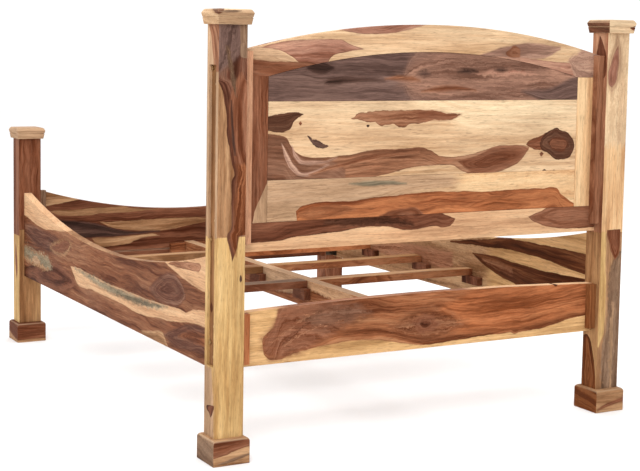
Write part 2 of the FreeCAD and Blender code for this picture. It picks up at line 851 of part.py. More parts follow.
def beam_blocks():
    """Support blocks on the beam, one under the inner end of each cross bar."""
    members = []
    for side, sign in SIDES:
        near, far = mirrored(s.beam_width / 2, s.beam_width / 2 + s.beam_block_reach, sign)
        for number, place in enumerate(BAR_PLACES, start=1):
            body = new_body("beam_block_%s_%d" % (side, number))
            front = place + s.bar_width / 2 + s.beam_block_lead
            add_block(
                body,
                (near, front - s.beam_block_length, bar_bottom - s.beam_block_height),
                (far, front, bar_bottom))
            members.append(body)
    return group("beam_support_blocks", members)


# Steel corner brackets between side rails and posts

def corner_brackets():
    """Angle bracket in each inner corner, one leg on the rail and one on the post."""
    members = []
    low = s.side_rail_bottom + s.bracket_lift
    high = low + s.bracket_height
    for side, sign in SIDES:
        for end, end_sign in (("head", 1), ("foot", -1)):
            body = new_body(
                "bracket_%s_%s" % (end, side), (rail_inner_x * sign, post_inner_y * end_sign, zero))
            sketch = new_sketch(body, "XY_Plane", low)
            leg_x = -(rail_inner_x - post_inner_x - s.bracket_edge_gap) * sign
            leg_y = -s.bracket_leg * end_sign
            plate_x = -s.bracket_plate * sign
            plate_y = -s.bracket_plate * end_sign
            points = [(zero, zero), (leg_x, zero), (leg_x, plate_y),
                      (plate_x, plate_y), (plate_x, leg_y), (zero, leg_y)]
            draw_outline(sketch, points)
            add_material(body, sketch, high - low)
            members.append(body)
    return group("corner_brackets", members)


# Bolts

HEX_SIDES = 6


def make_bolt(name, diameter, head_width, head_height, length):
    """Hexagon-headed bolt along +X, the underside of its head at zero."""
    body = new_body(name)
    shank = new_sketch(body, "YZ_Plane")
    shank.addGeometry(
        Part.Circle(FreeCAD.Vector(), FreeCAD.Vector(0, 0, 1), diameter.value / 2), False)
    shank.addConstraint(Sketcher.Constraint("Coincident", 0, 3, -1, 1))
    index = shank.addConstraint(Sketcher.Constraint("Diameter", 0, diameter.value))
    bind(shank, "Constraints[%d]" % index, diameter)
    add_material(body, shank, length)

    head = new_sketch(body, "YZ_Plane", -head_height)
    corner = head_width / 2 / math.cos(math.pi / HEX_SIDES)
    turns = [math.tau * number / HEX_SIDES for number in range(HEX_SIDES)]
    draw_outline(head, [(corner * math.cos(turn), corner * math.sin(turn)) for turn in turns])
    add_material(body, head, head_height)
    return body


AHEAD = FreeCAD.Rotation(FreeCAD.Vector(0, 0, 1), 0)
BACK = FreeCAD.Rotation(FreeCAD.Vector(0, 0, 1), 180)


def through_posts(label, source, y, heights):
    """Bolts from the recess floor of each head post inwards."""
    places = []
    for height in heights:
        for _, sign in SIDES:
            turn = BACK if sign > 0 else AHEAD
            places.append(((recess_floor_x * sign, y, height), turn))
    return copies(label, source, places)


# The whole bed

nodes = []
for end, end_sign in (("head", 1), ("foot", -1)):
    for side, sign in SIDES:
        nodes.append(make_post(end, end_sign, side, sign))
        nodes.append(make_foot_block(end, end_sign, side, sign))
        nodes.append(make_cap(end, end_sign, side, sign))

nodes.append(make_top_rail())
nodes.append(make_bottom_rail())
low_joint, high_joint = [
    panel_bottom + (panel_shoulder - panel_bottom) * share for share in BOARD_JOINT_SHARES]
nodes.append(make_panel_board("low", panel_bottom, low_joint, in_bottom_rail=True))
nodes.append(make_panel_board("middle", low_joint, high_joint))
nodes.append(make_panel_board("top", high_joint, panel_shoulder, in_top_rail=True))
nodes.append(make_head_rail())
nodes.append(make_footboard())
nodes.append(make_foot_rail())
for side, sign in SIDES:
    nodes.append(make_stile(side, sign))
    nodes.append(make_side_rail(side, sign))
    nodes.append(make_foot_cleat(side, sign))
    nodes.append(make_head_cleat(
        "headboard", side, sign, headboard_cleat_bottom, headboard_cleat_top,
        HEADBOARD_CLEAT_BOLT_HEIGHTS))
    nodes.append(make_head_cleat(
        "head_rail", side, sign, head_rail_cleat_bottom, head_rail_cleat_top,
        HEAD_RAIL_CLEAT_BOLT_HEIGHTS))

nodes.append(make_beam())
nodes.append(make_saddle("head", head_front_y, 1))
nodes.append(make_saddle("foot", foot_inner_y, -1))
for number, place in enumerate(BAR_PLACES, start=1):
    for side, sign in SIDES:
        nodes.append(make_bar(side, sign, number, place))
nodes.append(rail_blocks())
nodes.append(beam_blocks())
nodes.append(corner_brackets())

frame_bolt = make_bolt(
    "frame_bolt", s.frame_bolt_diameter, s.frame_bolt_head_width, s.frame_bolt_head_height,
    s.post_width - s.recess_depth + s.frame_bolt_grip)
nodes.append(through_posts("frame_bolts", frame_bolt, head_middle_y, FRAME_BOLT_HEIGHTS))
cleat_bolt = make_bolt(
    "cleat_bolt", s.cleat_bolt_diameter, s.cleat_bolt_head_width, s.cleat_bolt_head_height,
    s.post_width - s.recess_depth + s.cleat_bolt_grip)
nodes.append(through_posts(
    "cleat_bolts", cleat_bolt, head_cleat_y,
    HEADBOARD_CLEAT_BOLT_HEIGHTS + HEAD_RAIL_CLEAT_BOLT_HEIGHTS))

doc.recompute()

for item in doc.Objects:
    if "Invalid" in item.State or "Error" in item.State:
        raise RuntimeError("%s failed: %s" % (item.Label, item.State))
for node in nodes:
    if node.Shape.isNull() or not node.Shape.isValid():
        raise RuntimeError("%s has no sound shape" % node.Label)

os.makedirs("parts", exist_ok=True)
for node in nodes:
    node.Shape.exportStep(os.path.join("parts", node.Label + ".step"))
    box = node.Shape.BoundBox
    print("%-32s solids %2d  volume %9.1f cm3  z %7.1f..%7.1f" % (
        node.Label, len(node.Shape.Solids), node.Shape.Volume / 1000, box.ZMin, box.ZMax))
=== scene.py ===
import math
import random

import bpy
from mathutils import Matrix, Vector


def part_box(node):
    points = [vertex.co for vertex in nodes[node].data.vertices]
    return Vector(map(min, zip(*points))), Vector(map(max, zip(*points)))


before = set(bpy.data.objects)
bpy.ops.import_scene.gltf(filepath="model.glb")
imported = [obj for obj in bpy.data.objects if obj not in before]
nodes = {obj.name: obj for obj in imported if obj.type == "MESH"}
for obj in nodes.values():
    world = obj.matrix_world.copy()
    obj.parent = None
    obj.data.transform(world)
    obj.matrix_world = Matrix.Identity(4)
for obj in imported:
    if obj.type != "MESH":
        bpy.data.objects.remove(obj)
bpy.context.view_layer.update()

# Timbers: the colour of the rings' dark lines, of the body and of the pale streaks (linear), the
# number of rings in a metre, and how far the rings wander, in metres
TIMBERS = {
    "soot": ((0.025, 0.012, 0.009), (0.070, 0.034, 0.025), (0.140, 0.072, 0.052), 160, 0.020),
    "ebony": ((0.035, 0.010, 0.004), (0.092, 0.034, 0.018), (0.160, 0.070, 0.040), 140, 0.025),
    "plum": ((0.085, 0.045, 0.035), (0.155, 0.087, 0.069), (0.215, 0.125, 0.098), 120, 0.030),
    "walnut": ((0.062, 0.015, 0.005), (0.145, 0.046, 0.022), (0.235, 0.090, 0.047), 130, 0.030),
    "chestnut": ((0.075, 0.017, 0.004), (0.168, 0.047, 0.012), (0.270, 0.098, 0.034), 130, 0.020),
    "cocoa": ((0.050, 0.012, 0.003), (0.112, 0.031, 0.010), (0.200, 0.070, 0.026), 120, 0.020),
    "mauve": ((0.055, 0.015, 0.007), (0.142, 0.050, 0.028), (0.270, 0.130, 0.080), 120, 0.030),
    "hazel": ((0.095, 0.036, 0.018), (0.172, 0.070, 0.038), (0.270, 0.130, 0.078), 70, 0.012),
    "umber": ((0.120, 0.031, 0.011), (0.215, 0.076, 0.037), (0.320, 0.135, 0.074), 140, 0.025),
    "rust": ((0.105, 0.028, 0.010), (0.245, 0.090, 0.041), (0.350, 0.158, 0.080), 125, 0.030),
    "sienna": ((0.125, 0.032, 0.010), (0.318, 0.110, 0.045), (0.460, 0.200, 0.092), 130, 0.035),
    "russet": ((0.200, 0.052, 0.015), (0.440, 0.144, 0.054), (0.560, 0.212, 0.086), 120, 0.025),
    "copper": ((0.165, 0.052, 0.023), (0.335, 0.140, 0.072), (0.460, 0.225, 0.126), 120, 0.025),
    "mahogany": ((0.165, 0.075, 0.048), (0.305, 0.156, 0.105), (0.440, 0.232, 0.152), 90, 0.030),
    "amber": ((0.190, 0.045, 0.014), (0.410, 0.135, 0.051), (0.540, 0.196, 0.076), 130, 0.035),
    "rose": ((0.240, 0.090, 0.053), (0.425, 0.202, 0.135), (0.555, 0.300, 0.200), 100, 0.035),
    "fawn": ((0.320, 0.125, 0.065), (0.475, 0.230, 0.127), (0.580, 0.305, 0.180), 100, 0.008),
    "taupe": ((0.250, 0.130, 0.090), (0.480, 0.275, 0.192), (0.660, 0.420, 0.285), 80, 0.030),
    "swirl": ((0.120, 0.040, 0.018), (0.320, 0.136, 0.070), (0.470, 0.240, 0.135), 100, 0.012),
    "olive": ((0.095, 0.048, 0.026), (0.205, 0.115, 0.068), (0.310, 0.190, 0.118), 110, 0.020),
    "slate": ((0.140, 0.108, 0.068), (0.290, 0.225, 0.142), (0.460, 0.355, 0.225), 90, 0.030),
    "bronze": ((0.215, 0.092, 0.035), (0.325, 0.155, 0.065), (0.465, 0.255, 0.112), 90, 0.008),
    "dune": ((0.220, 0.098, 0.041), (0.390, 0.203, 0.098), (0.560, 0.330, 0.172), 80, 0.012),
    "sand": ((0.370, 0.218, 0.120), (0.505, 0.307, 0.176), (0.610, 0.390, 0.235), 80, 0.012),
    "gold": ((0.450, 0.250, 0.092), (0.605, 0.375, 0.153), (0.740, 0.490, 0.220), 80, 0.008),
    "brass": ((0.450, 0.240, 0.095), (0.660, 0.385, 0.168), (0.810, 0.495, 0.235), 80, 0.008),
    "honey": ((0.530, 0.285, 0.148), (0.700, 0.405, 0.218), (0.790, 0.495, 0.280), 80, 0.008),
    "straw": ((0.540, 0.285, 0.132), (0.760, 0.450, 0.225), (0.880, 0.590, 0.325), 80, 0.006),
    "cream": ((0.520, 0.305, 0.158), (0.690, 0.442, 0.252), (0.810, 0.560, 0.335), 90, 0.008),
    "pearl": ((0.600, 0.385, 0.222), (0.740, 0.515, 0.310), (0.850, 0.625, 0.385), 90, 0.008),
    "ivory": ((0.660, 0.440, 0.258), (0.800, 0.570, 0.345), (0.890, 0.670, 0.420), 90, 0.008),
}

# Each piece's timber: one for all its faces, or one for the faces across X, Y and Z
BASES = {
    "headboard_panel_board_top": "plum",
    "headboard_panel_board_middle": "cream",
    "headboard_panel_board_low": "cream",
    "headboard_top_rail": "cream",
    "headboard_bottom_rail": "honey",
    "headboard_stile_left": "sand",
    "headboard_stile_right": "straw",
    "headboard_cleat_left": "fawn",
    "headboard_cleat_right": "copper",
    "head_rail": ("brass", "brass", "honey"),
    "head_rail_cleat_left": "russet",
    "head_rail_cleat_right": "chestnut",
    "side_rail_left": ("rust", "rust", "dune"),
    "side_rail_right": "brass",
    # Painted shade: the footboard's timber is darker than its wood, for the shade on its inner face
    "footboard": "walnut",
    "foot_rail": "walnut",
    "centre_beam": "sand",
    "post_head_left": "gold",
    "post_head_right": "straw",
    "post_foot_left": "bronze",
    "post_foot_right": "umber",
    "cap_head_left": ("cream", "sand", "pearl"),
    "cap_head_right": ("walnut", "ivory", "ivory"),
    "cap_foot_left": "sand",
    "cap_foot_right": "cream",
    "foot_block_head_left": ("olive", "dune", "dune"),
    "foot_block_head_right": ("chestnut", "dune", "dune"),
    "foot_block_foot_left": "umber",
    "foot_block_foot_right": "umber",
    "beam_saddle_foot": "sienna",
    "beam_saddle_head": "umber",
    "beam_support_blocks": "walnut",
    "rail_support_blocks": "walnut",
    "footboard_cleat_left": "olive",
    "footboard_cleat_right": "umber",
    "cross_bar_left_1": "dune",
    "cross_bar_left_2": "bronze",
    "cross_bar_left_3": ("umber", "umber", "olive"),
    "cross_bar_left_4": "bronze",
    "cross_bar_right_1": "russet",
    "cross_bar_right_2": ("sienna", "sienna", "bronze"),
    "cross_bar_right_3": ("sienna", "sienna", "dune"),
    "cross_bar_right_4": "umber",
}

# Figures: patches of darker or paler wood, and a few of painted shade and painted highlight, as (timber, high
# outline, low outline, options). An outline is a run of points (along the grain, across it), or one height
# across, in millimetres.
# Options: face, the axis of the faces that show it; inset, only on faces that lie at least so deep
# behind the outermost; soft, half the width of its edge; rim, how dark its edge line is; follow, the
# outline that its rings keep to; ragged, how torn its outline is. Lengths are millimetres.
FIGURES = {}
FIGURES["headboard_panel_board_top"] = [
    ("mahogany", [(-800, 1400), (-258, 1400), (49, 1362), (129, 1265)],
     [(-800, 1170), (-265, 1170), (45, 1188), (129, 1262)], {"soft": 45, "ragged": 6}),
    ("plum", [(-800, 1290), (-642, 1281), (-609, 1273), (-517, 1236), (-389, 1226)],
     [(-800, 1170), (-519, 1180), (-389, 1222)], {"soft": 12}),
    ("copper", [(-185, 1230), (-72, 1245), (46, 1227)], [(-185, 1226), (-73, 1226), (46, 1223)],
     {"soft": 8}),
    ("rose", [(-442, 1290), (-288, 1298), (-183, 1288)], [(-442, 1286), (-288, 1282), (-183, 1286)],
     {"soft": 9, "ragged": 8}),
    ("copper", [(55, 1268), (117, 1280), (199, 1270)], [(55, 1262), (117, 1264), (199, 1266)], {"soft": 8}),
    ("soot", [(199, 1264), (343, 1276), (405, 1272), (436, 1256)],
     [(199, 1260), (342, 1256), (405, 1248), (436, 1252)], {"soft": 8}),
    ("soot", [(400, 1310), (452, 1328), (505, 1312)], [(400, 1300), (452, 1286), (505, 1300)], {"soft": 9}),
    ("soot", [(10, 1290), (38, 1298), (66, 1290)], [(10, 1286), (38, 1278), (66, 1286)],
     {"soft": 10, "ragged": 5}),
    ("soot", [(-320, 1301), (-292, 1306), (-264, 1301)], [(-320, 1299), (-292, 1294), (-264, 1299)],
     {"soft": 10, "ragged": 5}),
    ("soot", [(-190, 1300), (-150, 1306), (-105, 1298)], [(-190, 1296), (-150, 1290), (-105, 1294)],
     {"soft": 11, "ragged": 5}),
]
FIGURES["headboard_panel_board_middle"] = [
    ("ivory", [(-800, 1260), (760, 1260)], [(-800, 1070), (-200, 1080), (0, 1150), (300, 1165), (760, 1150)],
     {"soft": 30}),
    ("pearl", [(80, 1300), (800, 1300)], [(80, 1140), (300, 1155), (800, 1140)], {"soft": 30}),
    ("ebony", [(517, 1150), (551, 1157), (600, 1152), (700, 1132)],
     [(517, 1148), (550, 1125), (572, 1098), (605, 1089), (700, 1108)], {"rim": 0.4, "ragged": 2}),
    ("swirl",
     [(-432, 1019), (-400, 1027), (-323, 1031), (-236, 1015), (-175, 1001), (-96, 991), (-42, 997),
      (6, 1018), (60, 1029), (130, 1027), (221, 1022), (350, 1009), (441, 1002), (492, 1005), (543, 1024),
      (565, 1049), (590, 1078), (670, 1084)],
     [(-432, 1019), (-401, 981), (-352, 948), (-277, 930), (-202, 927), (-134, 942), (-79, 962), (21, 963),
      (99, 954), (219, 930), (336, 914), (451, 905), (670, 896)], {"rim": 0.6, "follow": "high"}),
    ("hazel",
     [(350, 960), (400, 990), (441, 998), (492, 1002), (543, 1021), (565, 1046), (590, 1075), (700, 1081)],
     [(350, 930), (451, 900), (700, 890)], {"soft": 6, "follow": "high"}),
    ("taupe", [(384, 1002), (446, 990), (508, 992), (537, 1013), (558, 1047)],
     [(384, 999), (446, 982), (507, 980), (546, 1003), (558, 1040)], {"soft": 5}),
    ("taupe", [(415, 980), (469, 960), (507, 953), (545, 977), (573, 1018), (596, 1054)],
     [(415, 977), (468, 950), (507, 941), (553, 960), (580, 998), (596, 1047)], {"soft": 5}),
    ("copper", [(48, 1018), (192, 1008), (368, 981), (491, 947)],
     [(48, 1010), (192, 994), (367, 966), (491, 943)], {"soft": 5}),
    ("umber", [(-428, 1014), (-397, 1024), (-342, 1031), (-280, 1025), (-192, 992), (-115, 973)],
     [(-428, 1010), (-363, 955), (-283, 935), (-221, 930), (-168, 942), (-115, 970)],
     {"follow": "both", "soft": 4, "rim": 0.2}),
    ("copper", [(-122, 1142), (-74, 1149), (-2, 1157), (90, 1159), (195, 1159), (283, 1154), (329, 1135)],
     [(-122, 1142), (-74, 1126), (-9, 1124), (32, 1114), (85, 1111), (127, 1099), (163, 1109), (205, 1105),
      (235, 1119), (282, 1126), (329, 1135)], {"rim": 0.6, "follow": "high", "ragged": 3}),
    ("umber", [(-122, 1142), (-74, 1149), (-2, 1157), (60, 1154)],
     [(-122, 1142), (-74, 1126), (-9, 1124), (60, 1120)], {"soft": 9}),
    ("umber", [(-415, 1030), (-432, 1045), (-469, 1054), (-498, 1066), (-524, 1076)],
     [(-415, 1026), (-452, 1012), (-480, 1007), (-524, 990)], {"rim": 0.3, "ragged": 3}),
    ("ebony",
     [(-641, 1021), (-633, 1042), (-608, 1068), (-568, 1083), (-556, 1090), (-524, 1077), (-498, 1062),
      (-478, 1030)],
     [(-641, 1017), (-632, 997), (-612, 974), (-565, 968), (-518, 992), (-492, 1004), (-478, 1026)],
     {"rim": 0.6, "follow": "both", "ragged": 2.5}),
    ("walnut", [(-610, 1029), (-581, 1052), (-543, 1052), (-520, 1030)],
     [(-610, 1026), (-583, 998), (-545, 1002), (-520, 1027)], {"follow": "both", "soft": 7, "ragged": 4}),
    ("soot", [(-512, 933), (-503, 938), (-495, 933)], [(-512, 932), (-504, 926), (-495, 932)], {}),
    ("soot", [(-558, 928), (-548, 933), (-539, 928)], [(-558, 927), (-549, 920), (-539, 927)], {}),
    ("walnut", [(-497, 992), (-487, 998), (-479, 992)], [(-497, 991), (-487, 983), (-479, 991)], {}),
    ("umber", [(521, 1118), (527, 1122), (533, 1118)], [(521, 1117), (527, 1111), (533, 1117)], {}),
    ("soot", [(256, 1109), (263, 1113), (270, 1109)], [(256, 1108), (263, 1102), (270, 1108)], {}),
    ("soot", [(415, 1040), (440, 1050), (462, 1060), (480, 1062), (500, 1078)],
     [(415, 1038), (445, 1034), (468, 1040), (482, 1050), (500, 1074)], {"ragged": 4}),
]
FIGURES["headboard_panel_board_low"] = [
    ("sand", [(-200, 908), (100, 940), (800, 940)], [(-200, 900), (60, 868), (300, 790), (800, 760)],
     {"soft": 14}),
    ("straw", [(-800, 960), (-120, 960)], [(-800, 740), (-120, 740)], {"soft": 40, "ragged": 10}),
    ("slate", [(100, 905), (223, 918), (335, 911)], [(100, 900), (222, 898), (335, 906)], {"soft": 5}),
    ("amber",
     [(-655, 800), (-583, 842), (-542, 867), (-496, 863), (-367, 863), (-242, 862), (-119, 866), (-28, 870),
      (60, 866), (157, 861), (335, 850), (438, 849), (506, 842), (539, 821)],
     [(-655, 770), (522, 770), (539, 821)], {"follow": "high", "rim": 0.5}),
    ("umber", [(30, 796), (80, 815), (138, 812), (210, 795)], [(30, 790), (79, 772), (137, 778), (210, 791)],
     {"soft": 5, "follow": "both"}),
    ("sienna", [(300, 820), (380, 838), (470, 832), (530, 815)],
     [(300, 816), (380, 800), (470, 790), (530, 800)], {"soft": 7, "follow": "both"}),
    ("russet", [(-440, 812), (-300, 836), (-160, 812)], [(-440, 806), (-300, 782), (-160, 806)],
     {"soft": 12}),
]
FIGURES["headboard_top_rail"] = [
    ("sand", [(515, 1318), (597, 1353), (657, 1372), (760, 1372)], [(515, 1314), (627, 1300), (760, 1300)],
     {"soft": 5}),
    ("rose",
     [(285, 1372), (312, 1378), (347, 1389), (387, 1401), (517, 1400), (572, 1395), (626, 1385), (680, 1369)],
     [(285, 1372), (346, 1361), (403, 1348), (425, 1326), (440, 1300), (520, 1300), (532, 1320), (571, 1345),
      (626, 1364), (680, 1369)], {"rim": 0.6, "follow": "high"}),
    ("rose", [(-60, 1500), (400, 1500)],
     [(-60, 1470), (0, 1462), (143, 1431), (223, 1424), (283, 1424), (400, 1436)],
     {"rim": 0.6, "soft": 3, "follow": "low"}),
    ("taupe", [(-197, 1355), (-258, 1374), (-311, 1386), (-369, 1394), (-455, 1399), (-560, 1391)],
     [(-197, 1351), (-259, 1346), (-371, 1342), (-457, 1343), (-560, 1380)], {"soft": 5, "rim": 0.2}),
    ("umber", [(-312, 1366), (-329, 1376), (-346, 1389), (-376, 1378)],
     [(-312, 1358), (-348, 1343), (-376, 1350)], {"soft": 4, "follow": "both"}),
    ("rose",
     [(-800, 1352), (-705, 1348), (-634, 1331), (-531, 1334), (-457, 1341), (-384, 1349), (-240, 1350)],
     [(-800, 1180), (-385, 1230), (-240, 1346)], {"soft": 2, "rim": 0.4, "follow": "high"}),
    ("taupe", [(-800, 1420), (-690, 1396), (-600, 1345)], [(-800, 1200), (-665, 1240), (-600, 1335)],
     {"soft": 12, "ragged": 8}),
    ("umber", [(468, 1318), (520, 1327), (610, 1326), (760, 1334)], [(468, 1310), (540, 1260), (760, 1200)],
     {"rim": 0.6, "soft": 3, "follow": "high"}),
]
FIGURES["headboard_stile_left"] = [
    ("umber", [(788, 800), (1400, 800)],
     [(788, 706), (803, 699), (827, 694), (871, 673), (904, 657), (930, 645), (960, 625), (1400, 600)],
     {"follow": "high", "rim": 0.3}),
]
FIGURES["headboard_bottom_rail"] = [
    ("walnut", [(-109, 771), (-48, 792), (17, 830), (900, 830)],
     [(-109, 771), (-97, 751), (-61, 737), (-19, 747), (23, 744), (76, 738), (155, 750), (245, 757),
      (304, 755), (391, 744), (476, 740), (561, 732), (616, 725), (900, 728)],
     {"rim": 0.6, "follow": "low"}),
    ("ebony", [(70, 765), (171, 787), (269, 792), (430, 786)],
     [(70, 755), (170, 760), (268, 762), (430, 772)], {"soft": 9, "ragged": 7}),
    ("umber", [(-900, 812), (-564, 806), (-499, 785), (-435, 761)],
     [(-900, 704), (-601, 709), (-534, 720), (-468, 739), (-435, 761)], {"rim": 0.6, "follow": "both"}),
]
FIGURES["head_rail"] = [
    ("sienna",
     [(-900, 700), (520, 700), (545, 560), (564, 498), (572, 479), (589, 457), (615, 435), (640, 418),
      (655, 404), (660, 388)],
     [(-900, 384), (-714, 370), (-666, 363), (-578, 349), (-519, 337), (-467, 334), (-410, 332), (-389, 326),
      (-364, 334), (-296, 332), (-230, 329), (-164, 325), (-98, 322), (-39, 319), (46, 323), (111, 335),
      (159, 345), (206, 355), (300, 362), (391, 355), (459, 349), (539, 334), (609, 321), (648, 336),
      (657, 366), (660, 388)], {"face": "Y", "rim": 0.5}),
    ("russet", [(-900, 520), (-304, 518), (-104, 470), (-20, 420)],
     [(-900, 400), (-720, 385), (-310, 345), (-108, 360), (-20, 412)],
     {"face": "Y", "soft": 16, "follow": "low"}),
    ("umber", [(300, 445), (420, 520), (563, 540), (619, 446), (660, 400)],
     [(300, 435), (430, 372), (540, 330), (617, 325), (660, 365)],
     {"face": "Y", "soft": 24, "follow": "high", "ragged": 9}),
    ("hazel", [(240, 456), (330, 490), (430, 486), (500, 450)],
     [(240, 450), (330, 430), (430, 420), (500, 446)], {"face": "Y", "soft": 26, "ragged": 12}),
    ("rust", [(-160, 384), (-79, 430), (0, 446), (63, 436), (150, 396)],
     [(-160, 380), (-82, 352), (-4, 340), (61, 352), (150, 390)], {"soft": 26, "ragged": 9}),
    ("umber", [(-60, 396), (-17, 420), (18, 428), (60, 404)], [(-60, 392), (-18, 368), (17, 366), (60, 400)],
     {"soft": 14, "follow": "both", "ragged": 10}),
    ("walnut", [(-20, 396), (0, 406), (18, 410), (34, 402)], [(-20, 394), (0, 384), (17, 384), (34, 399)],
     {"soft": 8, "ragged": 6}),
    ("copper", [(-190, 1200), (590, 1200)], [(-190, 900), (590, 900)], {"face": "Z", "soft": 40}),
    ("copper", [(445, 476), (498, 459), (561, 424), (630, 378)],
     [(445, 474), (498, 453), (561, 419), (630, 376)], {"soft": 3, "ragged": 9}),
    ("copper", [(349, 437), (468, 418), (572, 372)], [(349, 435), (467, 413), (572, 370)],
     {"soft": 3, "ragged": 9}),
    ("walnut", [(480, 440), (520, 428), (580, 382)], [(480, 436), (520, 416), (580, 376)],
     {"soft": 4, "ragged": 12}),
    ("amber", [(-740, 425), (-602, 417), (-517, 406), (-419, 379)],
     [(-740, 402), (-603, 395), (-518, 388), (-419, 375)], {"soft": 7}),
    ("walnut", [(-587, 501), (-573, 508), (-559, 502)], [(-587, 499), (-574, 490), (-559, 500)],
     {"soft": 3}),
]
FIGURES["side_rail_left"] = [
    ("mauve", [(-1010, 545), (-685, 548), (-373, 520)], [(-1010, 500), (-685, 462), (-373, 512)],
     {"soft": 14}),
    ("walnut", [(-1080, 330), (-818, 393), (-621, 432), (-403, 413), (-328, 376)],
     [(-1080, 299), (-621, 302), (-403, 337), (-328, 366)], {"soft": 9, "follow": "both"}),
    ("dune", [(-653, 490), (-557, 528), (-403, 550), (-373, 537)],
     [(-653, 482), (-557, 467), (-464, 475), (-373, 530)], {"soft": 13, "ragged": 9}),
    ("umber", [(-640, 492), (-550, 520), (-430, 543), (-390, 533)],
     [(-640, 484), (-550, 474), (-470, 482), (-390, 526)], {"soft": 10, "ragged": 8}),
    ("mauve", [(480, 492), (598, 555), (684, 576), (778, 549), (806, 511)],
     [(480, 482), (600, 452), (728, 461), (806, 500)], {"soft": 8, "follow": "both"}),
    ("honey", [(-1100, 760), (-360, 760)],
     [(-1100, 592), (-951, 577), (-883, 567), (-817, 560), (-739, 557), (-625, 566), (-527, 572),
      (-432, 580), (-360, 606)], {"rim": 0.2}),
    ("honey",
     [(-385, 441), (-293, 446), (-160, 444), (152, 438), (275, 440), (368, 443), (459, 444), (530, 449),
      (649, 452), (732, 456), (796, 455), (836, 462), (874, 475), (920, 480), (1100, 500)],
     [(-385, 441), (-338, 409), (-281, 379), (-225, 376), (-105, 384), (0, 383), (152, 386), (275, 381),
      (332, 377), (397, 376), (504, 385), (608, 397), (717, 405), (797, 416), (875, 427), (1100, 440)],
     {"rim": 0.2}),
    ("slate", [(-330, 440), (-160, 440), (152, 434), (368, 436), (530, 444), (649, 448)],
     [(-330, 438), (-200, 426), (0, 410), (152, 406), (368, 408), (530, 424), (649, 446)],
     {"soft": 10, "ragged": 9}),
    ("honey", [(621, 760), (1100, 760)],
     [(560, 618), (621, 606), (647, 599), (697, 589), (746, 577), (810, 567), (873, 558), (1100, 548)],
     {"rim": 0.2}),
    ("copper", [(647, 606), (700, 616), (753, 624), (871, 640), (917, 643), (938, 635)],
     [(647, 606), (713, 602), (793, 604), (872, 608), (910, 610), (938, 635)],
     {"rim": 0.5, "follow": "both"}),
    ("dune", [(-1100, 452), (-952, 445), (-818, 438), (-714, 440), (-640, 420)],
     [(-1100, 392), (-911, 378), (-753, 372), (-640, 390)], {"soft": 10, "ragged": 14}),
    ("slate", [(-1100, 449), (-952, 442), (-818, 435), (-714, 437), (-663, 426), (-626, 397)],
     [(-1100, 398), (-911, 394), (-818, 395), (-753, 390), (-663, 387), (-626, 397)],
     {"soft": 18, "ragged": 26}),
    ("sand", [(-900, 404), (-850, 418), (-790, 402)], [(-900, 398), (-850, 388), (-790, 394)],
     {"soft": 4, "ragged": 6}),
    ("dune", [(400, 314), (505, 334), (592, 347), (635, 326), (669, 290)],
     [(400, 314), (434, 280), (532, 270), (669, 290)], {"soft": 5, "rim": 0.2}),
    ("mauve", [(620, 344), (750, 391), (872, 422), (1100, 440)],
     [(620, 340), (731, 318), (854, 330), (1100, 350)], {"soft": 7, "rim": 0.1, "follow": "both"}),
    ("sienna", [(745, 359), (853, 396), (1100, 420)], [(745, 356), (853, 360), (1100, 372)],
     {"soft": 8, "follow": "both"}),
]
FIGURES["side_rail_right"] = [
    ("dune", [(-1100, 760), (330, 760)], [(-1100, 250), (330, 250)], {"soft": 50, "ragged": 8}),
    ("cocoa", [(35, 516), (158, 535), (336, 565), (464, 585), (574, 585), (746, 588), (1100, 587)],
     [(35, 509), (220, 522), (367, 530), (466, 539), (590, 533), (749, 525), (876, 515), (1100, 490)],
     {"rim": 0.3, "follow": "low"}),
    ("cocoa", [(209, 491), (339, 496), (482, 491), (619, 485), (751, 484), (1100, 491)],
     [(209, 488), (260, 463), (327, 438), (401, 419), (514, 400), (596, 380), (1100, 340)], {"rim": 0.2}),
    ("rust", [(282, 475), (398, 474), (500, 458)], [(282, 471), (371, 446), (500, 430)],
     {"soft": 9, "ragged": 6}),
    ("copper", [(-640, 417), (-294, 459), (60, 474)], [(-640, 377), (-291, 375), (60, 382)],
     {"soft": 14, "ragged": 6}),
]
# Painted shade: the footboard's pale streaks are in the darker dune instead of cream, for the shade on its
# inner face
FIGURES["footboard"] = [
    ("dune", [(153, 580), (300, 592), (355, 600), (509, 598), (640, 598), (700, 592)],
     [(153, 580), (243, 576), (350, 572), (445, 572), (509, 567), (635, 570), (700, 592)], {}),
    ("dune", [(-120, 515), (-87, 529), (135, 533), (279, 533), (455, 531)],
     [(-120, 515), (-40, 500), (61, 487), (171, 476), (260, 479), (349, 491), (455, 531)], {"rim": 0.2}),
    ("dune", [(152, 453), (207, 462), (314, 459), (495, 455)],
     [(152, 453), (206, 450), (278, 437), (314, 422), (435, 414), (495, 455)], {"rim": 0.2}),
    ("dune", [(545, 646), (600, 700), (900, 760)],
     [(545, 644), (599, 638), (675, 624), (737, 613), (900, 595)], {}),
    ("soot", [(152, 480), (260, 476), (349, 488), (455, 520), (600, 545), (780, 560), (800, 530)],
     [(152, 470), (314, 462), (495, 458), (600, 470), (780, 490), (800, 530)], {"soft": 6}),
]
FIGURES["centre_beam"] = [
    ("sienna", [(-1100, 450), (1100, 450)], [(-1100, 250), (1100, 250)], {"face": "X", "soft": 20}),
    ("honey", [(160, 400), (243, 425), (500, 425), (620, 400)],
     [(160, 396), (280, 385), (500, 372), (620, 390)], {"face": "X", "soft": 8, "ragged": 8}),
    ("sand", [(-200, 440), (170, 440)], [(-200, 350), (-40, 340), (170, 372)],
     {"face": "X", "soft": 12, "ragged": 10}),
]
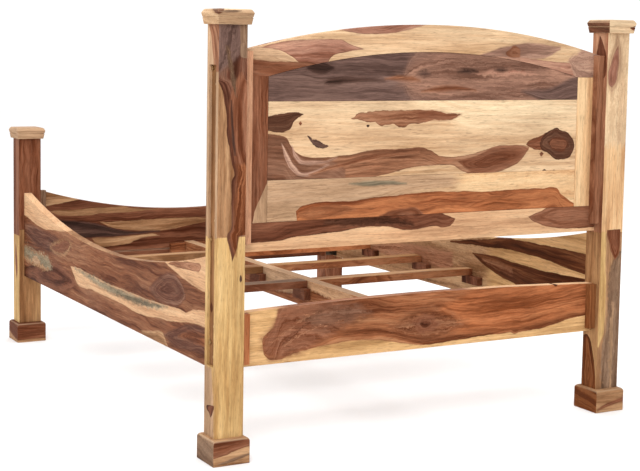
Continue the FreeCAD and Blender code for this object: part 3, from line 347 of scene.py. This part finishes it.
FIGURES["post_head_left"] = [
    ("dune", [(752, 700), (757, 1200), (1600, 1200)], 600, {"face": "Y", "soft": 3}),
    ("sand", [(750, 1200), (1600, 1200)], [(750, 900), (1600, 900)], {"face": "X", "soft": 3}),
    # Painted shade: the groove's floor, on X faces sunk 5 mm or more, is darker bronze for the shade its
    # walls cast on it
    ("bronze", [(300, 1100), (1360, 1100)], [(300, 1000), (1360, 1000)], {"face": "X", "inset": 5}),
    ("mauve",
     [(674, 796), (697, 802), (724, 809), (757, 816), (780, 802), (809, 799), (868, 801), (932, 802),
      (946, 797), (960, 791), (993, 798), (1022, 805), (1048, 810), (1084, 817), (1124, 821), (1164, 824),
      (1191, 831), (1231, 840), (1257, 849), (1275, 880), (1600, 880)],
     [(674, 796), (688, 789), (711, 781), (735, 776), (754, 771), (757, 758), (762, 700), (1600, 700)],
     {"face": "Y", "follow": "high", "rim": 0.5}),
    ("umber",
     [(785, 773), (820, 790), (900, 792), (960, 783), (1050, 800), (1160, 812), (1230, 800), (1290, 770)],
     [(785, 771), (830, 735), (1200, 735), (1290, 765)], {"face": "Y", "soft": 7, "follow": "high"}),
    ("sienna", [(690, 784), (724, 796), (757, 803), (780, 790), (868, 788), (960, 779), (990, 784)],
     [(690, 782), (735, 778), (754, 774), (770, 700), (990, 700)],
     {"face": "Y", "soft": 9, "follow": "high", "ragged": 4}),
    ("plum", [(1290, 872), (1480, 890)], [(1290, 840), (1330, 790), (1370, 760), (1480, 700)],
     {"face": "Y", "soft": 22, "ragged": 9}),
    ("olive", [(1213, 788), (1272, 804), (1323, 817), (1374, 823)],
     [(1213, 786), (1272, 791), (1323, 804), (1374, 818)], {"face": "Y", "soft": 6, "ragged": 6}),
    ("soot", [(1020, 790), (1100, 804), (1200, 806)], [(1020, 786), (1100, 795), (1200, 802)],
     {"face": "Y", "soft": 4}),
    ("olive", [(1380, 742), (1386, 774), (1404, 776), (1600, 776)], [(1380, 740), (1600, 740)],
     {"face": "Y", "soft": 3}),
    ("olive", [(1334, 742), (1340, 773), (1380, 777), (1386, 744)], [(1334, 740), (1386, 740)],
     {"face": "Y", "soft": 1.5}),
    ("umber", [(1290, 872), (1600, 890)], [(1290, 870), (1350, 859), (1403, 855), (1600, 850)],
     {"face": "Y", "soft": 5}),
    ("copper", [(1290, 1130), (1600, 1150)],
     [(1290, 1068), (1345, 1064), (1375, 1057), (1405, 1050), (1425, 1040), (1442, 1030), (1600, 1000)],
     {"face": "X", "soft": 4, "rim": 0.2, "follow": "low"}),
    # Painted light: the groove's side wall, among Y faces sunk 30 mm or more, is a paler sand where it faces
    # the light
    ("sand", [(744, 900), (1360, 900)], [(744, 800), (1360, 800)], {"face": "Y", "inset": 30}),
    # Painted highlight: below the rail this face is sand up to about 1.09 m across, leaving the paler gold
    # base as a highlight strip along the back corner
    ("sand", [(-100, 1100), (200, 1094), (318, 1075)], [(-100, 960), (318, 960)],
     {"face": "X", "soft": 7, "ragged": 5}),
    # Painted shade: a dark walnut spot on the groove floor for the shade in a bolt hole
    ("walnut", [(497, 1047), (515, 1056), (535, 1048)], [(497, 1045), (515, 1038), (535, 1046)],
     {"face": "X", "soft": 2}),
    ("walnut", [(153, 1072), (166, 1084), (181, 1094), (198, 1102)],
     [(153, 1068), (166, 1056), (181, 1040), (198, 1098)],
     {"face": "X", "soft": 3, "rim": 0.3, "ragged": 4}),
    ("soot", [(603, 766), (612, 769), (620, 768), (626, 766)],
     [(603, 765), (612, 760), (620, 761), (626, 764)], {"face": "Y", "soft": 2}),
]
FIGURES["post_head_right"] = [
    ("pearl", [(1020, -700), (1600, -700)], [(1020, -900), (1600, -900)],
     {"face": "Y", "soft": 20, "ragged": 20}),
    ("sand", [(1220, -769), (1245, -753), (1277, -748), (1326, -753), (1383, -771), (1440, -790)],
     [(1220, -772), (1253, -802), (1294, -814), (1351, -819), (1400, -811), (1440, -794)],
     {"face": "Y", "soft": 10, "follow": "both"}),
    ("rose", [(1240, -772), (1253, -757), (1286, -753), (1318, -762), (1355, -775), (1396, -798)],
     [(1240, -775), (1269, -795), (1302, -802), (1343, -806), (1396, -800)],
     {"face": "Y", "rim": 0.8, "soft": 3, "follow": "both"}),
    ("dune", [(-100, -700), (684, -700), (690, -900)], -900, {"soft": 3}),
    ("olive", [(-100, -770), (237, -774), (314, -788), (393, -792), (478, -792), (563, -802), (620, -850)],
     [(-100, -880), (600, -880), (620, -858)], {"face": "Y", "soft": 8, "ragged": 8}),
    ("sand", [(60, -812), (260, -806), (420, -816)], [(60, -822), (260, -820), (420, -822)],
     {"face": "Y", "soft": 4, "ragged": 8}),
    ("umber", [(583, -818), (610, -801), (652, -788), (690, -779), (700, -779)],
     [(583, -820), (607, -838), (649, -843), (687, -841), (700, -841)],
     {"face": "Y", "rim": 0.4, "follow": "both"}),
    ("gold", [(250, -752), (270, -740), (343, -738), (449, -738), (564, -738), (690, -738), (695, -760)],
     [(250, -756), (273, -765), (314, -780), (393, -782), (478, -782), (563, -774), (690, -774), (695, -764)],
     {"face": "Y", "soft": 4}),
    ("fawn", [(1236, 1150), (1600, 1150)], [(1236, 1000), (1600, 1000)], {"face": "X", "soft": 4}),
    ("copper", [(-100, 1150), (1236, 1150), (1242, 1078)], [(-100, 1000), (1236, 1000), (1242, 1074)],
     {"face": "X", "soft": 3}),
    ("bronze", [(-100, 1150), (680, 1150), (690, 1078)], [(-100, 1000), (680, 1000), (690, 1074)],
     {"face": "X", "soft": 3}),
    ("chestnut", [(-100, 1104), (93, 1104), (155, 1098), (226, 1082), (271, 1067), (290, 1046)],
     [(-100, 1020), (271, 1022), (282, 1026), (290, 1042)], {"face": "X", "rim": 0.5, "follow": "both"}),
    ("walnut", [(1262, 1078), (1300, 1102), (1358, 1101), (1391, 1087), (1431, 1064)],
     [(1262, 1074), (1300, 1046), (1358, 1043), (1390, 1050), (1431, 1060)],
     {"face": "X", "soft": 3, "rim": 0.4, "follow": "both"}),
]
FIGURES["post_foot_left"] = [
    ("umber", [(515, 700), (522, 1000), (1100, 1000)], 600, {"face": "Y", "soft": 3}),
    ("umber", [(484, -1200), (492, -900), (1100, -900)], -1200, {"face": "X", "soft": 3}),
    ("gold", [(-100, -900), (484, -900), (490, -1060)], [(-100, -1200), (484, -1200), (490, -1070)],
     {"face": "X", "soft": 3}),
    ("umber", [(290, -1060), (340, -1050), (420, -1062), (455, -1072)],
     [(290, -1062), (340, -1078), (420, -1080), (455, -1074)], {"face": "X", "soft": 3}),
]
FIGURES["cap_head_left"] = [
    ("walnut", [(838, 1500), (870, 1510), (900, 1510)], [(838, 1494), (852, 1480), (900, 1462)],
     {"soft": 3}),
    ("olive", [(780, 1486), (820, 1489), (860, 1486)], [(780, 1484), (820, 1480), (860, 1483)], {"soft": 2}),
]
FIGURES["cap_head_right"] = [
    ("umber", [(-900, 1474), (-858, 1470), (-838, 1462)], [(-900, 1440), (-858, 1450), (-838, 1458)],
     {"face": "Y", "soft": 2, "rim": 0.3}),
]
FIGURES["foot_block_head_left"] = [
    ("umber", [(680, 140), (900, 140)], [(680, 70), (738, 59), (794, 44), (826, 35), (900, 28)],
     {"face": "Y", "rim": 0.3, "follow": "low"}),
    ("olive", [(720, 40), (780, 26), (850, 8)], [(720, 36), (780, 14), (850, 2)], {"face": "Y", "soft": 4}),
]
FIGURES["foot_block_head_right"] = [
    ("umber", [(-900, 60), (-800, 40), (-740, 16)], [(-900, 44), (-800, 22), (-740, 8)],
     {"face": "Y", "soft": 5}),
]
FIGURES["foot_block_foot_left"] = [
    ("dune", [(700, 9), (800, 13), (900, 11)], [(700, -20), (900, -20)], {"soft": 4}),
]

PER_METRE = 1000.0   # millimetres in a metre
NOISE_MIDDLE = 0.5   # the level that a noise swings about
DRIFT_GAIN = 2.0     # its farthest swing is a half, and that is a ring's full wander
TEETH_GAIN = 4.0     # its common swing is about a quarter, and that is a tooth's full length

# Noises over two coordinates: the scale of the first and of the second, detail and roughness
EDDIES = (4.5, 13.0, 2.0, 0.5)
STREAKS = (0.22, 1.6, 2.0, 0.5)
FINE_RINGS = (1.0, 3.0, 5.0, 0.68)
BENDS = (0.5, 1.2, 1.0, 0.5)
TEETH = (42.0, 70.0, 3.0, 0.6)

# Noises in the block of wood: the scale along the grain and across it, detail and roughness
WAVER = (7.0, 20.0, 2.0, 0.55)
MOTTLE = (14.0, 110.0, 4.0, 0.7)
FLECKS = (24.0, 230.0, 2.0, 0.5)
FIBRE = (9.0, 420.0, 2.0, 0.5)
PORES = (38.0, 950.0, 1.0, 0.5)
CLOUDS = (3.0, 9.0, 2.0, 0.5)

# Noises in the steel: the scales of its brushing and of its stains
BRUSH_SCALES = (60.0, 60.0, 900.0)
STAIN_SCALE = 45.0

# Ramps: the values that each goes from and to, and what it gives at them if not 0 and 1
DARK_RINGS = (0.40, 0.50)
LIGHT_RINGS = (0.50, 0.61)
VEIN_WIDTH = (0.0, 0.035, 1.0, 0.0)
VEIN_BREAKS = (0.35, 0.6, 1.0, 0.2)
VEIN_BY_WANDER = (0.0, 0.03, 0.1, 0.6)
RIM_WIDTH = (0.0, 0.006, 1.0, 0.0)
RIM_BREAKS = (0.3, 0.65, 0.35, 1.0)
WAVER_REACH = (0.2, 0.8, -0.005, 0.005)
MOTTLE_TONES = (0.32, 0.68, 0.74, 1.20)
MOTTLE_BY_PALENESS = (0.05, 0.5, 1.0, 0.45)
FLECK_SHARE = (0.60, 0.70, 0.0, 0.30)
FIBRE_SHARE = (0.3, 0.7, 0.22, 0.0)
PORE_HOLES = (0.63, 0.70)
CLOUD_SHARE = (0.35, 0.65, 0.16, 0.0)
EDGE_SHARE = (0.93, 0.78)
EDGE_BY_CLOUDS = (0.35, 0.6, 0.15, 0.55)
WOOD_ROUGHNESS = (0.3, 0.7, 0.48, 0.60)
STEEL_ROUGHNESS = (0.3, 0.7, 0.30, 0.48)
STEEL_STAINS = (0.35, 0.7)
FACING = (0.3, 0.7)

STREAK_SHARE = 0.55  # the streaks' share in the rings, and the fine rings have the rest
THINNEST = 0.004     # the least height in metres over which a figure's rings are spread
ROUNDING = 0.02      # how many metres before two outlines meet the rings start to turn the corner
LEAN = 0.2           # how far the grain shifts across for each metre of depth
WEAR = 0.45          # the share of its colour that a worn edge loses
RIM_TONE = 0.35      # a rim's share of its timber's dark colour
PORE_DARKNESS = 0.35
PORE_ROUGHNESS = 0.25
FLECK_COLOUR = (0.04, 0.016, 0.008)
PORE_COLOUR = (0.03, 0.014, 0.008)
CLOUD_COLOUR = (0.05, 0.022, 0.012)
WORN_COLOUR = (0.80, 0.60, 0.40)
BLACK = (0.0, 0.0, 0.0)
COLOUR_SOCKETS = ("Dark", "Body", "Light", "Colour")


class Graph:
    """Adds shader nodes to a tree. A socket passed for an input is linked, and a value is set."""

    def __init__(self, tree):
        self.tree = tree

    def feed(self, node, key, value):
        socket = node.inputs[key]
        if isinstance(value, bpy.types.NodeSocket):
            self.tree.links.new(value, socket)
        elif isinstance(value, tuple):
            socket.default_value = (*value, 1.0)
        else:
            socket.default_value = value

    def add(self, kind, *terms, settings=None, **inputs):
        """A node whose first inputs take the terms in order, and others the values by name."""
        node = self.tree.nodes.new("ShaderNode" + kind)
        for name, value in (settings or {}).items():
            setattr(node, name, value)
        for index, value in enumerate(terms):
            self.feed(node, index, value)
        for name, value in inputs.items():
            self.feed(node, name.replace("_", " "), value)
        return node

    def math(self, operation, *terms):
        return self.add("Math", *terms, settings={"operation": operation}).outputs[0]

    def plus(self, first, second):
        return self.math("ADD", first, second)

    def minus(self, first, second):
        return self.math("SUBTRACT", first, second)

    def times(self, first, second):
        return self.math("MULTIPLY", first, second)

    def blend(self, factor, first, second, mode="MIX"):
        """Mixes two colours, which are the node's inputs 6 and 7. The mixture is its output 2."""
        node = self.add("Mix", factor, settings={"data_type": "RGBA", "blend_type": mode})
        self.feed(node, 6, first)
        self.feed(node, 7, second)
        return node.outputs[2]

    def ramp(self, value, low, high, start=0.0, end=1.0, smooth=False):
        """Goes from start to end while the value goes from low to high."""
        shape = {"interpolation_type": "SMOOTHSTEP" if smooth else "LINEAR"}
        return self.add("MapRange", value, low, high, start, end, settings=shape).outputs[0]

    def split(self, vector):
        return self.add("SeparateXYZ", vector).outputs

    def noise(self, x, y, z, detail, roughness):
        place = self.add("CombineXYZ", x, y, z).outputs[0]
        return self.add("TexNoise", Vector=place, Scale=1.0, Detail=detail, Roughness=roughness).outputs[0]

    def pattern(self, first, second, seed, noise):
        """A noise over two coordinates, in the layer of the seed."""
        first_scale, second_scale, *look = noise
        return self.noise(self.times(first, first_scale), self.times(second, second_scale), seed, *look)

    def grain(self, along, across, depth, seed, noise):
        """A noise in the block of wood, drawn out along the grain."""
        along_scale, across_scale, *look = noise
        return self.noise(
            self.math("MULTIPLY_ADD", along, along_scale, seed), self.times(across, across_scale),
            self.times(depth, across_scale), *look)

    def group(self, tree, **inputs):
        return self.add("Group", settings={"node_tree": tree}, **inputs).outputs

    def surface(self, height, strength, depth, **look):
        """The material's shader, with a bump, on its output."""
        bump = self.add("Bump", Height=height, Strength=strength, Distance=depth)
        shader = self.add("BsdfPrincipled", Normal=bump.outputs[0], **look)
        self.add("OutputMaterial", shader.outputs[0])


def new_group(name, inputs, outputs, build):
    """A node group with these sockets. build makes the outputs from its graph and the inputs."""
    tree = bpy.data.node_groups.new(name, "ShaderNodeTree")
    for in_out, labels in (("INPUT", inputs), ("OUTPUT", outputs)):
        for label in labels.split():
            kind = "NodeSocketColor" if label in COLOUR_SOCKETS else "NodeSocketFloat"
            tree.interface.new_socket(label, in_out=in_out, socket_type=kind)
    graph = Graph(tree)
    given = tree.nodes.new("NodeGroupInput").outputs
    result = tree.nodes.new("NodeGroupOutput")
    values = build(graph, *(given[label] for label in inputs.split()))
    for label, value in zip(outputs.split(), values):
        graph.feed(result, label, value)
    return tree


def build_timber(graph, ring, along, seed, lines, wander, dark, body, light):
    """Ring lines, streaks and body colour of one timber."""
    eddies = graph.pattern(along, ring, seed, EDDIES)
    drift = graph.times(graph.minus(eddies, NOISE_MIDDLE), wander)
    line = graph.times(graph.math("MULTIPLY_ADD", drift, DRIFT_GAIN, ring), lines)
    streaks = graph.pattern(line, along, seed, STREAKS)
    fine = graph.pattern(line, along, seed, FINE_RINGS)
    level = graph.plus(graph.times(streaks, STREAK_SHARE), graph.times(fine, 1.0 - STREAK_SHARE))
    colour = graph.blend(graph.ramp(level, *DARK_RINGS), dark, body)
    colour = graph.blend(graph.ramp(level, *LIGHT_RINGS), colour, light)
    bend = graph.math("ABSOLUTE", graph.minus(graph.pattern(line, along, seed, BENDS), NOISE_MIDDLE))
    vein = graph.ramp(bend, *VEIN_WIDTH, smooth=True)
    vein = graph.times(vein, graph.ramp(fine, *VEIN_BREAKS))
    vein = graph.times(vein, graph.ramp(wander, *VEIN_BY_WANDER))
    return [graph.blend(vein, colour, dark)]


def build_figure(graph, across, along, seed, low, high, start, end, soft, width, ragged):
    """How far inside a figure a spot is, its dark rim, and the rings that follow an outline."""
    teeth = graph.pattern(along, across, seed, TEETH)
    torn = graph.times(graph.minus(teeth, NOISE_MIDDLE), ragged)
    from_low = graph.plus(graph.minus(across, low), torn)
    from_high = graph.plus(graph.minus(high, across), torn)
    from_ends = graph.math("MINIMUM", graph.minus(along, start), graph.minus(end, along))
    between = graph.math("MINIMUM", from_low, from_high)
    inside = graph.math("MINIMUM", between, graph.plus(from_ends, torn))
    mask = graph.ramp(inside, graph.times(soft, -1.0), soft, smooth=True)
    rim = graph.times(mask, graph.ramp(inside, *RIM_WIDTH, smooth=True))
    rim = graph.times(rim, graph.ramp(teeth, *RIM_BREAKS))
    span = graph.math("MAXIMUM", graph.minus(high, low), THINNEST)
    share = graph.times(graph.math("DIVIDE", from_low, span), width)
    both = graph.math("SMOOTH_MIN", from_low, from_high, ROUNDING)
    return [mask, rim, share, from_low, from_high, both]


def build_finish(graph, colour, along, across, depth, seed):
    """Fibres, pores, clouds and worn edges over a timber's colour, with its roughness and height."""
    mottle, flecks, fibre, pores, clouds = (
        graph.grain(along, across, depth, seed, noise) for noise in (MOTTLE, FLECKS, FIBRE, PORES, CLOUDS))
    pores = graph.ramp(pores, *PORE_HOLES)
    paleness = graph.add("RGBToBW", colour).outputs[0]
    mottled = graph.ramp(paleness, *MOTTLE_BY_PALENESS)
    colour = graph.blend(mottled, colour, graph.ramp(mottle, *MOTTLE_TONES), "MULTIPLY")
    colour = graph.blend(graph.ramp(flecks, *FLECK_SHARE), colour, FLECK_COLOUR)
    colour = graph.blend(graph.ramp(fibre, *FIBRE_SHARE), colour, BLACK)
    colour = graph.blend(graph.times(pores, PORE_DARKNESS), colour, PORE_COLOUR)
    colour = graph.blend(graph.ramp(clouds, *CLOUD_SHARE), colour, CLOUD_COLOUR)
    flat = 0.0
    for part in graph.split(graph.add("TexCoord").outputs["Normal"]):
        flat = graph.math("MAXIMUM", graph.math("ABSOLUTE", part), flat)
    edge = graph.times(graph.ramp(flat, *EDGE_SHARE, smooth=True), graph.ramp(clouds, *EDGE_BY_CLOUDS))
    colour = graph.blend(edge, colour, graph.blend(WEAR, colour, WORN_COLOUR))
    roughness = graph.plus(graph.ramp(clouds, *WOOD_ROUGHNESS), graph.times(pores, PORE_ROUGHNESS))
    return [colour, roughness, graph.minus(fibre, pores)]


TIMBER = new_group("Timber", "Ring Along Seed Lines Wander Dark Body Light", "Colour", build_timber)
FIGURE = new_group(
    "Figure", "Across Along Seed Low High Start End Soft Width Ragged", "Mask Rim share low high both",
    build_figure)
FINISH = new_group("Finish", "Colour Along Across Depth Seed", "Colour Roughness Height", build_finish)


def new_material(name):
    """An empty material, and the graph that fills it."""
    material = bpy.data.materials.new(name)
    material.use_nodes = True
    material.node_tree.nodes.clear()
    return material, Graph(material.node_tree)


def third_axis(first, second):
    """The axis that is neither of the two."""
    return next(axis for axis in "XYZ" if axis not in (first, second))


class Wood:
    """One piece's wood: its base timber, its figures in order, and the finish."""

    def __init__(self, name, axes, seed):
        self.material, self.graph = new_material(name)
        self.axes = axes
        self.seed = seed
        self.outer = dict(zip("XYZ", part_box(name)[1]))
        places = self.graph.add("TexCoord").outputs
        self.spot = dict(zip("XYZ", self.graph.split(places["Object"])))
        normal = zip("XYZ", self.graph.split(places["Normal"]))
        self.facing = {axis: self.graph.math("POWER", part, 2.0) for axis, part in normal}
        self.along = self.spot[axes[0]]
        self.rows = {}
        self.colour = None

    def row(self, across_axis):
        """The coordinate across the grain, with the grain's waver."""
        if across_axis not in self.rows:
            graph = self.graph
            depth_axis = third_axis(self.axes[0], across_axis)
            across = self.spot[across_axis]
            depth = self.spot[depth_axis]
            waver = graph.grain(self.along, across, depth, self.seed, WAVER)
            shifted = graph.plus(across, graph.ramp(waver, *WAVER_REACH))
            behind = graph.minus(depth, self.outer[depth_axis])
            self.rows[across_axis] = graph.math("MULTIPLY_ADD", behind, LEAN, shifted)
        return self.rows[across_axis]

    def timber(self, name, ring, seed):
        dark, body, light, lines, wander = TIMBERS[name]
        return self.graph.group(
            TIMBER, Ring=ring, Along=self.along, Seed=seed, Lines=float(lines), Wander=wander,
            Dark=dark, Body=body, Light=light)[0]

    def lay(self, names):
        """The base timber, one for all faces or one for each axis that a face can look along."""
        for axis, name in zip("XYZ", names if isinstance(names, tuple) else (names,)):
            layer = self.timber(name, self.row(self.axes[1]), self.seed)
            if self.colour is not None:
                layer = self.graph.blend(self.facing[axis], self.colour, layer)
            self.colour = layer

    def outline(self, line, along_share, low, high):
        """A height across the grain that follows the points, or stays at the one given."""
        if not isinstance(line, list):
            return line / PER_METRE
        length = high[0] - low[0]
        height = max(high[1] - low[1], 1)
        node = self.graph.add("FloatCurve", Value=along_share)
        node.mapping.extend = "HORIZONTAL"
        curve = node.mapping.curves[0]
        places = [((along - low[0]) / length, (across - low[1]) / height) for along, across in sorted(line)]
        curve.points[0].location = places[0]
        curve.points[-1].location = places[-1]
        for place in places[1:-1]:
            curve.points.new(*place)
        for point in curve.points:
            point.handle_type = "AUTO_CLAMPED"
        node.mapping.update()
        return self.graph.math(
            "MULTIPLY_ADD", node.outputs[0], (high[1] - low[1]) / PER_METRE, low[1] / PER_METRE)

    def figure(self, number, timber, high_line, low_line,
               face=None, inset=None, soft=1.6, rim=None, follow="share", ragged=1.2):
        """Lays a figure over what is there. Its number in the list sets its rings apart."""
        graph = self.graph
        points = [point for line in (high_line, low_line) if isinstance(line, list) for point in line]
        low = [min(values) for values in zip(*points)]
        high = [max(values) for values in zip(*points)]
        start = low[0] / PER_METRE
        end = high[0] / PER_METRE
        share = graph.ramp(self.along, start, end)
        found = graph.group(
            FIGURE, Across=self.row(third_axis(self.axes[0], face) if face else self.axes[1]),
            Along=self.along, Seed=self.seed, Start=start, End=end,
            Low=self.outline(low_line, share, low, high), High=self.outline(high_line, share, low, high),
            Soft=soft / PER_METRE, Width=(high[1] - low[1]) / PER_METRE,
            Ragged=ragged * TEETH_GAIN / PER_METRE)
        layer = self.timber(timber, found[follow], self.seed + number)
        if rim is not None:
            rim_colour = tuple(RIM_TONE * part for part in TIMBERS[timber][0])
            layer = graph.blend(graph.times(found["Rim"], rim), layer, rim_colour)
        mask = found["Mask"]
        if face:
            mask = graph.times(mask, graph.ramp(self.facing[face], *FACING, smooth=True))
        if inset is not None:
            sunk = graph.minus(self.outer[face], self.spot[face])
            mask = graph.times(mask, graph.math("GREATER_THAN", sunk, inset / PER_METRE))
        self.colour = graph.blend(mask, self.colour, layer)

    def finish(self):
        """Puts the finish over the colour, and returns the material."""
        done = self.graph.group(
            FINISH, Colour=self.colour, Along=self.along, Across=self.spot[self.axes[1]],
            Depth=self.spot[third_axis(*self.axes)], Seed=self.seed)
        self.graph.surface(
            done["Height"], strength=0.35, depth=0.0004, Base_Color=done["Colour"],
            Roughness=done["Roughness"], Specular_IOR_Level=0.04)
        return self.material


def steel_material(name, dark, pale):
    """Steel with a dull brushed surface, stained from the pale colour to the dark one."""
    material, graph = new_material(name)
    spot = graph.split(graph.add("TexCoord").outputs["Object"])
    strokes = (graph.times(part, scale) for part, scale in zip(spot, BRUSH_SCALES))
    brush = graph.noise(*strokes, detail=3.0, roughness=0.6)
    stain = graph.noise(*(graph.times(part, STAIN_SCALE) for part in spot), detail=4.0, roughness=0.6)
    graph.surface(
        brush, strength=0.3, depth=0.0002, Metallic=1.0,
        Base_Color=graph.blend(graph.ramp(stain, *STEEL_STAINS), dark, pale),
        Roughness=graph.ramp(brush, *STEEL_ROUGHNESS))
    return material


def grain_axes(node):
    """A piece's grain runs along its longest side, and its figures spread across the next one."""
    if node.startswith("post"):
        return "Z", "X"
    if node.startswith(("cap", "foot_block")):
        return "X", "Z"
    low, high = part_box(node)
    order = sorted(range(3), key=lambda axis: low[axis] - high[axis])
    return "XYZ"[order[0]], "XYZ"[order[1]]


def ease_edges(piece):
    """Sanded arrises: the CAD solid's sharp edges are rounded over."""
    for kind, settings in EASING:
        modifier = piece.modifiers.new(kind, kind)
        for name, value in settings.items():
            setattr(modifier, name, value)


# Edges: facets that bend less than the flat angle become one face, edges that bend more than the
# sharp angle are eased, and a weld before and after joins corners that lie within its threshold
FLAT_ANGLE = math.radians(1.0)
SHARP_ANGLE = math.radians(30.0)
EASED_WIDTH = 0.002
EASING = (
    ("WELD", {"merge_threshold": 1e-5}),
    ("DECIMATE", {"decimate_type": "DISSOLVE", "angle_limit": FLAT_ANGLE}),
    ("BEVEL", {"width": EASED_WIDTH, "segments": 2, "limit_method": "ANGLE", "angle_limit": SHARP_ANGLE}),
    ("WELD", {"merge_threshold": 2e-5}),
    ("WEIGHTED_NORMAL", {"keep_sharp": True}),
)
RANDOM_START = 11
HIGHEST_SEED = 90.0

bronzed = steel_material("bronzed_steel", (0.070, 0.048, 0.032), (0.130, 0.096, 0.068))
plated = steel_material("yellow_plated_steel", (0.300, 0.175, 0.070), (0.520, 0.340, 0.150))
METAL = {"corner_brackets": bronzed, "frame_bolts": plated, "cleat_bolts": plated}

chance = random.Random(RANDOM_START)
for node in sorted(nodes):
    piece = nodes[node]
    piece.data.materials.clear()
    seed = chance.uniform(0.0, HIGHEST_SEED)
    if node in METAL:
        piece.data.materials.append(METAL[node])
        continue
    wood = Wood(node, grain_axes(node), seed)
    wood.lay(BASES[node])
    for number, (timber, high_line, low_line, options) in enumerate(FIGURES.get(node, ()), 1):
        wood.figure(number, timber, high_line, low_line, **options)
    piece.data.materials.append(wood.finish())
    ease_edges(piece)

# Camera at the photograph's angle: place in metres, angles in degrees, lens in the photo's pixels

PHOTO_WIDTH = 640
CAMERA_PLACE = Vector((2.7847, 5.2684, 1.3907))
CAMERA_YAW = -29.058
CAMERA_PITCH = -5.322
CAMERA_ROLL = 0.974
FOCAL_LENGTH = 1425.9
SHIFT_UP = -60.5
SENSOR_WIDTH = 36.0

yaw, pitch, roll = (math.radians(angle) for angle in (CAMERA_YAW, CAMERA_PITCH, CAMERA_ROLL))
ahead = Vector((math.sin(yaw) * math.cos(pitch), -math.cos(yaw) * math.cos(pitch), math.sin(pitch)))
across = ahead.cross(Vector((0, 0, 1))).normalized()
above = across.cross(ahead)
right = math.cos(roll) * across + math.sin(roll) * above
up = math.cos(roll) * above - math.sin(roll) * across

scene = bpy.context.scene
camera = bpy.data.objects.new("camera", bpy.data.cameras.new("camera"))
camera.data.sensor_width = SENSOR_WIDTH
camera.data.lens = SENSOR_WIDTH * (FOCAL_LENGTH / PHOTO_WIDTH)
camera.data.shift_y = SHIFT_UP / PHOTO_WIDTH
camera.data.clip_start = 0.1
camera.data.clip_end = 200.0
camera.matrix_world = Matrix.Translation(CAMERA_PLACE) @ Matrix((right, up, -ahead)).transposed().to_4x4()
scene.collection.objects.link(camera)
scene.camera = camera

# Floor and light

FLOOR_WIDTH = 60.0
FLOOR_COLOUR = (0.93, 0.93, 0.93, 1.0)
FLOOR_ROUGHNESS = 0.9
SKY_COLOUR = (1.0, 1.0, 1.0, 1.0)
SKY_STRENGTH = 1.08
# Each lamp's place and target, its width in metres and its power in watts
LAMPS = {
    "key": ((3.5, 5.0, 4.5), (0.0, 0.0, 0.5), 3.0, 160.0),
    "top": ((0.0, 0.0, 5.0), (0.0, 0.0, 0.0), 4.0, 120.0),
}

scene.view_settings.view_transform = "Standard"

bpy.ops.mesh.primitive_plane_add(size=FLOOR_WIDTH, location=(0, 0, 0))
floor = bpy.context.object
floor.name = "floor"
floor_material = bpy.data.materials.new("floor")
floor_material.use_nodes = True
floor_shader = floor_material.node_tree.nodes["Principled BSDF"]
floor_shader.inputs["Base Color"].default_value = FLOOR_COLOUR
floor_shader.inputs["Roughness"].default_value = FLOOR_ROUGHNESS
floor.data.materials.append(floor_material)

world = bpy.data.worlds.new("studio")
world.use_nodes = True
sky = world.node_tree.nodes["Background"]
sky.inputs["Color"].default_value = SKY_COLOUR
sky.inputs["Strength"].default_value = SKY_STRENGTH
scene.world = world

for name, (place, target, width, power) in LAMPS.items():
    lamp = bpy.data.objects.new(name, bpy.data.lights.new(name, "AREA"))
    lamp.data.shape = "DISK"
    lamp.data.size = width
    lamp.data.energy = power
    lamp.location = place
    lamp.rotation_mode = "QUATERNION"
    lamp.rotation_quaternion = (Vector(target) - Vector(place)).to_track_quat("-Z", "Y")
    scene.collection.objects.link(lamp)
